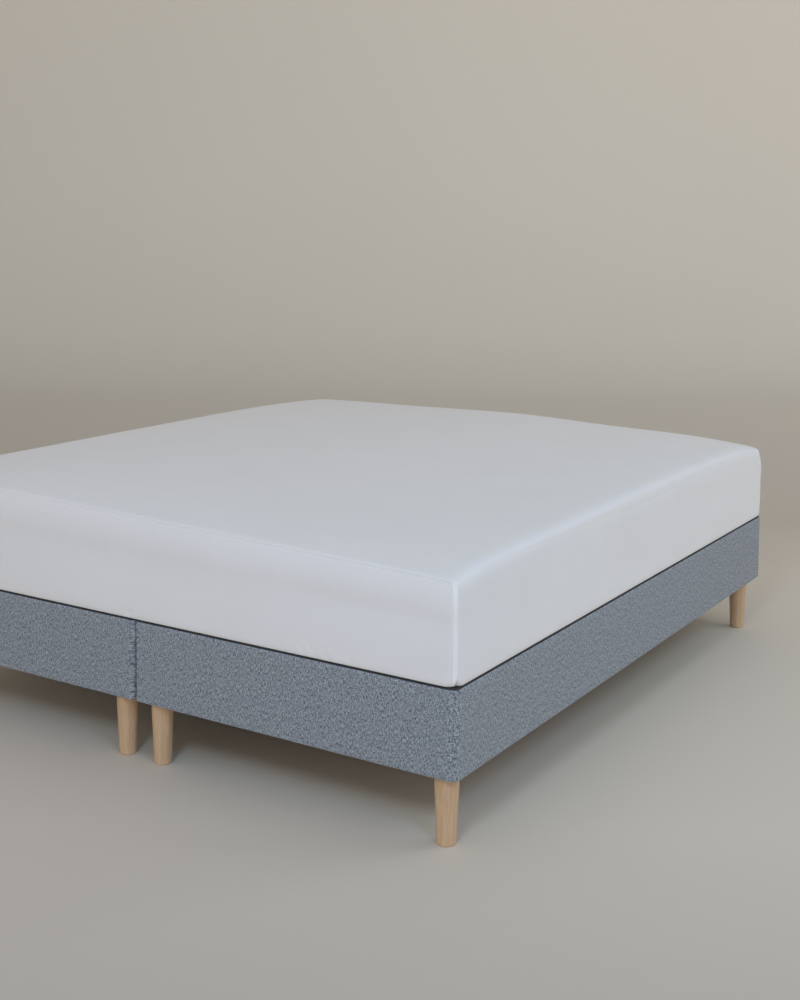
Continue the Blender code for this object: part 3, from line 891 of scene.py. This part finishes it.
def add_top(bm, flat, columns, rows, edge, rim, ring, drop, sizes):
    """Faces of the top: a coarse grid whose outer faces take in the fine points of its edge."""
    points = {(sx, sy): point for (_, sx, sy), point in zip(edge, rim)}
    for sx in columns:
        for sy in rows:
            if (sx, sy) not in points:
                points[sx, sy] = bm.verts.new(cloth_point("top", sx, sy, ring, 0.0, drop, sizes))
    stations = (
        {line: sorted(sx for _, sx, sy in edge if sy == line) for line in (-2.0, 2.0)},
        {line: sorted(sy for _, sx, sy in edge if sx == line) for line in (-2.0, 2.0)},
    )

    def between(axis, line, low, high):
        """Fine stations of an outer edge strictly between two of the grid's. There are none inside."""
        return [s for s in stations[axis].get(line, ()) if low < s < high]

    for west, east in zip(columns, columns[1:]):
        for south, north in zip(rows, rows[1:]):
            outline = [(west, south), *((s, south) for s in between(0, south, west, east))]
            outline += [(east, south), *((east, s) for s in between(1, east, south, north))]
            outline += [(east, north), *((s, north) for s in reversed(between(0, north, west, east)))]
            outline += [(west, north), *((west, s) for s in reversed(between(1, west, south, north)))]
            add_level_face(bm, flat, [points[place] for place in outline])


def seam_line(rings, side_x, side_y, offset, sizes):
    """Points down a corner seam, a little to one side of its middle, on the cloth's surface."""
    line = []
    for ring in rings:
        if STITCHED[0] < ring.end_up < STITCHED[1]:
            station = 2.0 - abs(offset / (ring.corner_radius * SEAM_ANGLE))
            if offset < 0:
                face, place = "foot" if side_y < 0 else "head", (station, 2.0)
            else:
                face, place = "right" if side_x > 0 else "left", (2.0, station)
            line.append(cloth_point(
                face, side_x * place[0], side_y * place[1], ring, SHEET_BOTTOM, 0.0, sizes
            ))
    return line


# ---- geometry nodes ------------------------------------------------------------------
def new_group(name, inputs):
    """A geometry node tree with named inputs, as its builder and its sockets' identifiers."""
    group = bpy.data.node_groups.new(name, "GeometryNodeTree")
    group.interface.new_socket(name="Geometry", in_out="OUTPUT", socket_type="NodeSocketGeometry")
    group.interface.new_socket(name="Geometry", in_out="INPUT", socket_type="NodeSocketGeometry")
    identifiers = {}
    for label, kind in inputs.items():
        made = group.interface.new_socket(name=label, in_out="INPUT", socket_type=kind)
        identifiers[label] = made.identifier
    return Tree(group), identifiers


def grown(name, source, build, values):
    """Plain mesh that a geometry node tree makes from a source mesh."""
    tree, identifiers = build()
    maker = add_object(name, source)
    modifier = maker.modifiers.new(name, "NODES")
    modifier.node_group = tree.tree
    for label, value in values.items():
        modifier[identifiers[label]] = value
    mesh = plain_mesh(maker)
    maker.modifiers.remove(modifier)
    bpy.data.objects.remove(maker)
    return mesh


def stitch_tree():
    """Sewing stitches one after another along lines: a pinched bead of thread for each."""
    tree, identifiers = new_group("Seam stitches", {
        "Stitch length": "NodeSocketFloat",
        "Stitch pitch": "NodeSocketFloat",
        "Thread thickness": "NodeSocketFloat",
        "Thread": "NodeSocketMaterial",
    })
    given = tree.add("NodeGroupInput").outputs
    path = tree.add("GeometryNodeMeshToCurve", sockets={"Mesh": given["Geometry"]})
    places = tree.add(
        "GeometryNodeCurveToPoints", {"mode": "LENGTH"},
        {"Curve": path.outputs[0], "Length": given["Stitch pitch"]},
    )
    bead = tree.add("GeometryNodeMeshUVSphere", sockets={"Segments": 6, "Rings": 5, "Radius": 0.5})
    thickness = given["Thread thickness"]
    size = tree.add(
        "ShaderNodeCombineXYZ", sockets={0: thickness, 1: thickness, 2: given["Stitch length"]}
    )
    sized = tree.add(
        "GeometryNodeTransform", sockets={"Geometry": bead.outputs["Mesh"], "Scale": size.outputs[0]}
    )
    turned = tree.add(
        "FunctionNodeAlignRotationToVector", {"axis": "Z"}, {"Vector": places.outputs["Tangent"]}
    )
    sewn = tree.add("GeometryNodeInstanceOnPoints", sockets={
        "Points": places.outputs["Points"], "Instance": sized.outputs[0],
        "Rotation": turned.outputs[0],
    })
    finish_group(tree, given["Thread"], sewn.outputs[0])
    return tree, identifiers


def finish_group(tree, material, geometry):
    """Ends a tree in Realize Instances and Set Material."""
    real = tree.add("GeometryNodeRealizeInstances", sockets={"Geometry": geometry})
    coloured = tree.add(
        "GeometryNodeSetMaterial", sockets={"Geometry": real.outputs[0], "Material": material}
    )
    tree.add("NodeGroupOutput", sockets={"Geometry": coloured.outputs[0]})


def leg_tree():
    """A turned leg on each point: a straight taper with a rounded foot."""
    tree, identifiers = new_group("Turned legs", {
        "Height": "NodeSocketFloat",
        "Top radius": "NodeSocketFloat",
        "Foot radius": "NodeSocketFloat",
        "Foot rounding": "NodeSocketFloat",
        "Sides": "NodeSocketInt",
        "Wood": "NodeSocketMaterial",
    })
    given = tree.add("NodeGroupInput").outputs
    height, top = Value(tree, given["Height"]), Value(tree, given["Top radius"])
    foot, rounding = Value(tree, given["Foot radius"]), Value(tree, given["Foot rounding"])
    line = tree.add("GeometryNodeCurvePrimitiveLine", {"mode": "POINTS"}, {"End": (0.0, 0.0, 1.0)})
    points = tree.add(
        "GeometryNodeResampleCurve", {"mode": "COUNT"}, {"Curve": line.outputs[0], "Count": 48}
    )
    run = Value(tree, tree.add("GeometryNodeSplineParameter").outputs["Factor"])
    raised = tree.add("ShaderNodeCombineXYZ", sockets={2: height * run**3})
    shift = {"Geometry": points.outputs[0], "Position": raised.outputs[0]}
    placed = tree.add("GeometryNodeSetPosition", sockets=shift)
    spot = tree.add("GeometryNodeInputPosition").outputs[0]
    up = Value(tree, tree.add("ShaderNodeSeparateXYZ", sockets={0: spot}).outputs[2])
    below = (1 - up / rounding).at_least(0.0)
    bevel = rounding * (1 - (1 - below * below).at_least(0.0).root())
    radius = foot + (top - foot) * (up / height) - bevel
    thick = tree.add(
        "GeometryNodeSetCurveRadius", sockets={"Curve": placed.outputs[0], "Radius": radius}
    )
    circle = tree.add("GeometryNodeCurvePrimitiveCircle", sockets={"Resolution": given["Sides"]})
    width = tree.add("GeometryNodeInputRadius").outputs[0]
    turned = tree.add("GeometryNodeCurveToMesh", sockets={
        "Curve": thick.outputs[0], "Profile Curve": circle.outputs[0], "Scale": width,
        "Fill Caps": True,
    })
    standing = {"Points": given["Geometry"], "Instance": turned.outputs[0]}
    legs = tree.add("GeometryNodeInstanceOnPoints", sockets=standing)
    finish_group(tree, given["Wood"], legs.outputs[0])
    return tree, identifiers


# ---- upholstered sections ------------------------------------------------------------
CORNER_PARTS = 8  # faces round an upright corner
EDGE_FACES, SIDE_FACES, BOTTOM_FACES = 6, 9, 5  # faces down the top edge, the side and the bottom edge
TIGHTEST_CORNER = 0.002
BASE_SPACING, DECK_SPACING = 0.05, 0.012  # between points along a straight side
FADE_TO_EDGE = 0.02  # the soft waves fade out this close to the top and the bottom
DECK_LINES, DECK_RIM = (0.10, 0.05), 0.008  # lines of the flat deck cloth, and the last from the edge
# The black lap is partly real deck cloth and partly a painted shadow: it makes the dark line between
# the sheet and the upholstery.
DECK_LAP_ANGLE = math.radians(44)  # how far the deck cloth laps down the rounded top edge
DECK_LAP_FACES = 7
DECK_LIFT = 0.0003  # air between the deck cloth and the upholstery
DECK_FRAY = 0.0006  # unevenness of the deck cloth's cut edge
FRAYED_ROWS = 4  # the last rows of the deck cloth, which fray


def rounded_outline(low, high, radii, spacing):
    """Points round a rectangle with rounded corners, anticlockwise from above, and their outward
    directions. Radii are for the corners at low X low Y, high X low Y, high X high Y, low X high Y."""
    corners = [(low[0], low[1]), (high[0], low[1]), (high[0], high[1]), (low[0], high[1])]
    inward = [(1, 1), (-1, 1), (-1, -1), (1, -1)]
    starts = [math.pi, -math.pi / 2, 0.0, math.pi / 2]
    centres = [
        Vector((x + radius * in_x, y + radius * in_y, 0.0))
        for (x, y), (in_x, in_y), radius in zip(corners, inward, radii)
    ]
    points = []
    for k, (centre, start) in enumerate(zip(centres, starts)):
        for step in range(CORNER_PARTS + 1):
            angle = start + math.pi / 2 * step / CORNER_PARTS
            outward = Vector((math.cos(angle), math.sin(angle), 0.0))
            points.append((centre + outward * radii[k], outward))
        after = (k + 1) % 4
        outward = Vector((math.cos(starts[after]), math.sin(starts[after]), 0.0))
        begin, end = points[-1][0], centres[after] + outward * radii[after]
        parts = max(round((end - begin).length / spacing), 1)
        points += [(begin.lerp(end, i / parts), outward) for i in range(1, parts)]
    return points


def arc(parts, sweep=math.pi / 2):
    """Sine and cosine at even steps of an arc from 0."""
    return [(math.sin(sweep * i / parts), math.cos(sweep * i / parts)) for i in range(parts + 1)]


def section_profile(low_z, high_z, sizes):
    """Inset and height down the side of a section, with a rounded top and bottom edge."""
    top, bottom = sizes.top_radius, sizes.bottom_radius
    upper, lower = high_z - top, low_z + bottom
    rows = [(top * (1 - sine), high_z - top * (1 - cosine)) for sine, cosine in arc(EDGE_FACES)]
    rows += [(0.0, upper + (lower - upper) * step / SIDE_FACES) for step in range(1, SIDE_FACES)]
    rows += [(bottom * (1 - cosine), low_z + bottom * (1 - sine)) for sine, cosine in arc(BOTTOM_FACES)]
    return rows


def section_box(side):
    """Lowest and highest corner of the left or right section."""
    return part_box("base_left" if side < 0 else "base_right")


def draped(side, rows, spacing, sizes, uneven, cap_bottom=False):
    """Skin over the top and sides of a section, and its underside with cap_bottom.

    The rows give inset and height, and uneven gives how far a point of a row is moved.
    """
    low, high = section_box(side)
    bm = bmesh.new()
    flat = bm.loops.layers.uv.new(FLAT_CLOTH)
    loops, runs = [], [0.0]
    for k, (inset, z) in enumerate(rows):
        outer, split = (
            max(radius - inset, TIGHTEST_CORNER) for radius in (sizes.outer_radius, sizes.split_radius)
        )
        radii = [split, outer, outer, split] if side > 0 else [outer, split, split, outer]
        outline = rounded_outline(
            (low.x + inset, low.y + inset), (high.x - inset, high.y - inset), radii, spacing
        )
        loops.append([
            bm.verts.new(place + uneven(k, z, place, outward) + Vector((0, 0, z)))
            for place, outward in outline
        ])
    for a, b in zip(rows, rows[1:]):
        runs.append(runs[-1] + math.dist(a, b))
    around = [0.0]
    for a, b in zip(loops[0], loops[0][1:] + loops[0][:1]):
        around.append(around[-1] + (b.co - a.co).length)
    join_loops(bm, loops, flat, lambda i, column, row: (around[column], -runs[row]))
    add_level_face(bm, flat, loops[0])
    if cap_bottom:
        add_level_face(bm, flat, list(reversed(loops[-1])))
    return bm


def base_section(side, sizes):
    """Upholstered box of one section: smooth cloth over a firm frame, faintly uneven."""
    low, high = section_box(side)

    def soft_wave(row, z, place, outward):
        inside = smooth_step(z, low.z, low.z + FADE_TO_EDGE)
        inside *= 1 - smooth_step(z, high.z - FADE_TO_EDGE, high.z)
        wave = noise.noise(Vector((place.x * 5, place.y * 5, z * 9 + 3))) - 0.5
        return outward * (sizes.softness * wave * inside)

    profile = section_profile(low.z, high.z, sizes)
    return draped(side, profile, BASE_SPACING, sizes, soft_wave, cap_bottom=True)


def deck_cloth(side, sizes):
    """Dark cloth over a section's top, lapped a little way down its rounded edge. The black lap shows
    as the dark line under the sheet's hem: partly the deck cloth, partly a painted shadow of the
    crevice there.
    """
    lifted = sizes.top_radius + DECK_LIFT + sizes.deck_thickness
    level = section_box(side)[1].z + DECK_LIFT + sizes.deck_thickness
    rows = [(inset, level) for inset in (*DECK_LINES, sizes.top_radius + DECK_RIM)]
    rows += [
        (sizes.top_radius - lifted * sine, level - lifted * (1 - cosine))
        for sine, cosine in arc(DECK_LAP_FACES, DECK_LAP_ANGLE)
    ]
    first_frayed = len(rows) - 1 - FRAYED_ROWS

    def fray(row, z, place, outward):
        share = max(row - first_frayed, 0) / FRAYED_ROWS
        wave = noise.noise(Vector((place.x * 35, place.y * 35, 0.3)))
        return Vector((0, 0, DECK_FRAY * share * wave))

    return draped(side, rows, DECK_SPACING, sizes, fray)


# ---- operators -----------------------------------------------------------------------
class BED_OT_fitted_sheet(bpy.types.Operator):
    """Stretch the white sheet over the mattress"""

    bl_idname = "bed.fitted_sheet"
    bl_label = "Fitted sheet"

    def execute(self, context):
        sizes = context.scene.sheet_sizes
        bm, _ = stretched_shell(SHEET_RINGS, SHEET_BOTTOM, 0.0, CELLS_ACROSS, CELLS_ALONG, sizes)
        mesh = to_mesh(bm, "sheet_cloth", sharp_angle=math.radians(60))
        material = white_cotton(context.scene.finish_colours)
        sheet = add_piece("sheet_cloth", mesh, material, ["fitted_sheet"])
        give_thickness(sheet, sizes.thickness)
        return {"FINISHED"}


class BED_OT_seam_stitches(bpy.types.Operator):
    """Sew two rows of stitches down each corner seam"""

    bl_idname = "bed.seam_stitches"
    bl_label = "Seam stitches"

    def execute(self, context):
        sizes = context.scene.sheet_sizes
        rings = smooth_rings(SHEET_RINGS)
        lines = bmesh.new()
        for side_x in (-1, 1):
            for side_y in (-1, 1):
                for share in (-STITCH_ROW, STITCH_ROW):
                    line = seam_line(rings, side_x, side_y, share * sizes.seam_width, sizes)
                    points = [lines.verts.new(point) for point in line]
                    for a, b in zip(points, points[1:]):
                        lines.edges.new((a, b))
        source = bpy.data.meshes.new("seam_lines")
        lines.to_mesh(source)
        lines.free()
        material = white_cotton(context.scene.finish_colours)
        mesh = grown("seam_stitches", source, stitch_tree, {
            "Stitch length": sizes.stitch_length, "Stitch pitch": sizes.stitch_pitch,
            "Thread thickness": sizes.stitch_thickness, "Thread": material,
        })
        mesh.shade_smooth()
        add_piece("seam_stitches", mesh, material)
        return {"FINISHED"}


class BED_OT_mattress(bpy.types.Operator):
    """Make the mattress that the sheet is stretched over"""

    bl_idname = "bed.mattress"
    bl_label = "Mattress"

    def execute(self, context):
        bm, loops = stretched_shell(
            MATTRESS_RINGS, MATTRESS_BOTTOM, MATTRESS_CLEARANCE, CELLS_ACROSS // 2, CELLS_ALONG // 2
        )
        bm.faces.new(list(reversed(loops[-1])))
        mesh = to_mesh(bm, "mattress_block")
        material = mattress_ticking(context.scene.finish_colours)
        mattress = add_piece("mattress_block", mesh, material, ["mattress"])
        return {"FINISHED"}


class BED_OT_base_sections(bpy.types.Operator):
    """Upholster the two base sections"""

    bl_idname = "bed.base_sections"
    bl_label = "Base sections"

    def execute(self, context):
        sizes = context.scene.base_sizes
        material = grey_blue_upholstery(context.scene.finish_colours)
        for name, side in SIDES.items():
            mesh = to_mesh(base_section(side, sizes), f"upholstered_{name}")
            add_piece(f"upholstered_{name}", mesh, material, [f"base_{name}"])
        return {"FINISHED"}


class BED_OT_deck_cloths(bpy.types.Operator):
    """Lay the dark deck cloth over each section"""

    bl_idname = "bed.deck_cloths"
    bl_label = "Deck cloths"

    def execute(self, context):
        sizes = context.scene.base_sizes
        material = black_deck_cloth(context.scene.finish_colours)
        for name, side in SIDES.items():
            mesh = to_mesh(deck_cloth(side, sizes), f"deck_lining_{name}")
            cloth = add_piece(
                f"deck_lining_{name}", mesh, material, [f"deck_cloth_{name}"]
            )
            give_thickness(cloth, sizes.deck_thickness)
        return {"FINISHED"}


class BED_OT_legs(bpy.types.Operator):
    """Turn the eight legs"""

    bl_idname = "bed.legs"
    bl_label = "Legs"

    def execute(self, context):
        sizes = context.scene.base_sizes
        places = bmesh.new()
        boxes = [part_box(node) for node in LEG_NODES]
        for low, high in boxes:
            places.verts.new(((low.x + high.x) / 2, (low.y + high.y) / 2, low.z))
        low, high = boxes[0]
        source = bpy.data.meshes.new("leg_places")
        places.to_mesh(source)
        places.free()
        material = pale_oak(context.scene.finish_colours)
        mesh = grown("turned_legs", source, leg_tree, {
            "Height": high.z - low.z, "Top radius": sizes.leg_top_radius,
            "Foot radius": sizes.leg_foot_radius, "Foot rounding": sizes.leg_foot_round,
            "Sides": sizes.leg_sides, "Wood": material,
        })
        bm = bmesh.new()
        bm.from_mesh(mesh)
        bmesh.ops.remove_doubles(bm, verts=bm.verts, dist=1e-6)
        bmesh.ops.recalc_face_normals(bm, faces=bm.faces)
        mesh = to_mesh(bm, "turned_legs")
        add_piece("turned_legs", mesh, material, LEG_NODES)
        return {"FINISHED"}


# The loose thread's way out from under the sheet and over the edge: X and Y from the bed's corner,
# and the height.
THREAD_PATH = [
    (-0.0220, 0.0220, 0.3562), (-0.0145, 0.0135, 0.3564), (-0.0094, 0.0094, 0.3543),
    (-0.0048, 0.0108, 0.3520), (-0.0012, 0.0138, 0.3478), (0.0002, 0.0150, 0.3462),
]
THREAD_RADIUS = 0.0006


class BED_OT_loose_thread(bpy.types.Operator):
    """Leave the loose end of the deck cloth's sewing thread at the corner"""

    bl_idname = "bed.loose_thread"
    bl_label = "Loose thread"

    def execute(self, context):
        corner = Vector((HALF_WIDTH, -HALF_LENGTH, 0.0))
        line = bpy.data.curves.new("loose_thread", "CURVE")
        line.dimensions = "3D"
        spline = line.splines.new("NURBS")
        spline.points.add(len(THREAD_PATH) - 1)
        for point, from_corner in zip(spline.points, THREAD_PATH):
            point.co = (*(corner + Vector(from_corner)), 1.0)
        spline.use_endpoint_u = True
        spline.order_u = 4
        line.bevel_depth = THREAD_RADIUS
        line.bevel_resolution = 3
        line.use_fill_caps = True
        maker = add_object("loose_thread", line)
        mesh = plain_mesh(maker)
        bpy.data.objects.remove(maker)
        mesh.shade_smooth()
        material = black_deck_cloth(context.scene.finish_colours)
        add_piece("loose_thread", mesh, material)
        return {"FINISHED"}


# ---- stage ---------------------------------------------------------------------------
CAMERA_PLACE = (2.3455, -3.5404, 1.3834)
CAMERA_YAW = math.radians(32.089)
CAMERA_DOWN = math.radians(4.161)
CAMERA_ROLL = math.radians(0.514)
CAMERA_LENS = 51.55
CAMERA_SHIFT = -0.2
BACKWARD = (-math.sin(CAMERA_YAW), math.cos(CAMERA_YAW))  # in plan, away from the camera


Light = namedtuple("Light", "name azimuth elevation distance size power colour")
LIGHTS = [  # soft boxes. Azimuth 0 stands at the foot end and 90 at the right
    Light("window", 52, 33, 6.5, (1.2, 1.2), 49, (0.294, 0.568, 1.0)),
    Light("soft_box", 20, 35, 6.5, (1.2, 1.2), 74, (0.631, 0.819, 1.0)),
    Light("side_box", 120, 35, 5.5, (3.0, 2.0), 40, (0.712, 0.927, 1.0)),
]
LIGHTS_AIM = (0.0, 0.0, 0.35)
AMBIENT_STRENGTH = 1.30
AMBIENT_TONES = [  # from the horizon up to straight above
    (0.0, (0.815, 0.693, 0.580)), (0.35, (0.523, 0.449, 0.380)), (0.7, (0.274, 0.260, 0.255)),
    (1.0, (0.308, 0.293, 0.287)),
]


def add_light(given):
    """A soft box that faces the bed."""
    data = bpy.data.lights.new(given.name, "AREA")
    data.shape = "RECTANGLE"
    data.size, data.size_y = given.size
    data.energy = given.power
    data.color = given.colour
    light = add_object(given.name, data)
    turn, rise = math.radians(given.azimuth), math.radians(given.elevation)
    away = Vector((math.sin(turn) * math.cos(rise), -math.cos(turn) * math.cos(rise), math.sin(rise)))
    light.location = Vector(LIGHTS_AIM) + away * given.distance
    light.rotation_mode = "QUATERNION"
    light.rotation_quaternion = away.to_track_quat("Z", "Y")
    light.visible_camera = False


def add_camera():
    data = bpy.data.cameras.new("camera")
    data.sensor_width = 36.0
    data.sensor_fit = "AUTO"
    data.lens = CAMERA_LENS
    data.shift_y = CAMERA_SHIFT
    camera = add_object("camera", data)
    forward = Vector((
        -math.sin(CAMERA_YAW) * math.cos(CAMERA_DOWN), math.cos(CAMERA_YAW) * math.cos(CAMERA_DOWN),
        -math.sin(CAMERA_DOWN),
    ))
    level = forward.cross(Vector((0, 0, 1))).normalized()
    upright = level.cross(forward)
    right = math.cos(CAMERA_ROLL) * level + math.sin(CAMERA_ROLL) * upright
    up = math.cos(CAMERA_ROLL) * upright - math.sin(CAMERA_ROLL) * level
    turned = Matrix((right, up, -forward)).transposed()
    camera.matrix_world = Matrix.Translation(CAMERA_PLACE) @ turned.to_4x4()
    bpy.context.scene.camera = camera


FLOOR_LINES = (-16.0, -6.0, -3.0, 0.0, 3.0)  # lines across the flat part, from the front
SWEEP_START, SWEEP_RADIUS, BACKDROP_TOP = 5.3, 2.6, 7.0
FLOOR_HALF_WIDTH = 20.0
SWEEP_FACES = 16


def add_floor(material):
    """Floor that curves up into a plain backdrop well behind the bed."""
    profile = [(away, 0.0) for away in FLOOR_LINES]
    profile += [
        (SWEEP_START + SWEEP_RADIUS * sine, SWEEP_RADIUS * (1 - cosine))
        for sine, cosine in arc(SWEEP_FACES)
    ]
    profile.append((SWEEP_START + SWEEP_RADIUS, BACKDROP_TOP))
    back, side = Vector((*BACKWARD, 0.0)), Vector((BACKWARD[1], -BACKWARD[0], 0.0))
    bm = bmesh.new()
    rows = []
    for away, z in profile:
        middle = back * away + Vector((0, 0, z))
        rows.append([
            bm.verts.new(middle + side * (FLOOR_HALF_WIDTH * share)) for share in (-1, -0.5, 0, 0.5, 1)
        ])
    for near, far in zip(rows, rows[1:]):
        for i in range(len(near) - 1):
            bm.faces.new((near[i], near[i + 1], far[i + 1], far[i]))
    mesh = to_mesh(bm, "floor")
    mesh.materials.append(material)
    add_object("floor", mesh)


def add_ambient():
    """Soft light from all round."""
    world = bpy.data.worlds.new("room_light")
    bpy.context.scene.world = world
    world.use_nodes = True
    tree = Tree(world.node_tree)
    surround = world.node_tree.nodes["Background"]
    place = tree.add("ShaderNodeTexCoord").outputs["Generated"]
    height = tree.add("ShaderNodeSeparateXYZ", sockets={0: place}).outputs[2]
    ramp = tree.add("ShaderNodeValToRGB", {"stops": AMBIENT_TONES}, {0: height})
    tree.feed(surround.inputs["Color"], ramp.outputs[0])
    surround.inputs["Strength"].default_value = AMBIENT_STRENGTH


class BED_OT_stage(bpy.types.Operator):
    """Set the floor, the backdrop, the lights and the camera"""

    bl_idname = "bed.stage"
    bl_label = "Stage"

    def execute(self, context):
        context.scene.view_settings.view_transform = "Standard"
        add_floor(floor_paint(context.scene.finish_colours))
        add_ambient()
        for light in LIGHTS:
            add_light(light)
        add_camera()
        return {"FINISHED"}


# ---- panel and registration ----------------------------------------------------------
GROUPS = {"sheet_sizes": SheetSizes, "base_sizes": BaseSizes, "finish_colours": FinishColours}
BUILD_ORDER = (
    BED_OT_stage, BED_OT_fitted_sheet, BED_OT_seam_stitches, BED_OT_mattress, BED_OT_base_sections,
    BED_OT_deck_cloths, BED_OT_legs, BED_OT_loose_thread,
)


class BED_PT_pieces(bpy.types.Panel):
    """Pieces of the bed and their sizes"""

    bl_idname = "BED_PT_pieces"
    bl_label = "Fitted sheet on a bed"
    bl_space_type = "VIEW_3D"
    bl_region_type = "UI"
    bl_category = "Bed"

    def draw(self, context):
        layout = self.layout
        for operator in BUILD_ORDER:
            layout.operator(operator.bl_idname)
        for group_name in GROUPS:
            group, box = getattr(context.scene, group_name), layout.box()
            for name in group.__annotations__:
                box.prop(group, name)


def register():
    for item in (*GROUPS.values(), *BUILD_ORDER, BED_PT_pieces):
        bpy.utils.register_class(item)
    for name, group in GROUPS.items():
        setattr(bpy.types.Scene, name, PointerProperty(type=group))


def unregister():
    for name in GROUPS:
        delattr(bpy.types.Scene, name)
    for item in reversed((*GROUPS.values(), *BUILD_ORDER, BED_PT_pieces)):
        bpy.utils.unregister_class(item)


def main():
    register()
    for operator in BUILD_ORDER:
        group, name = operator.bl_idname.split(".")
        getattr(getattr(bpy.ops, group), name)()


if __name__ == "__main__":
    main()
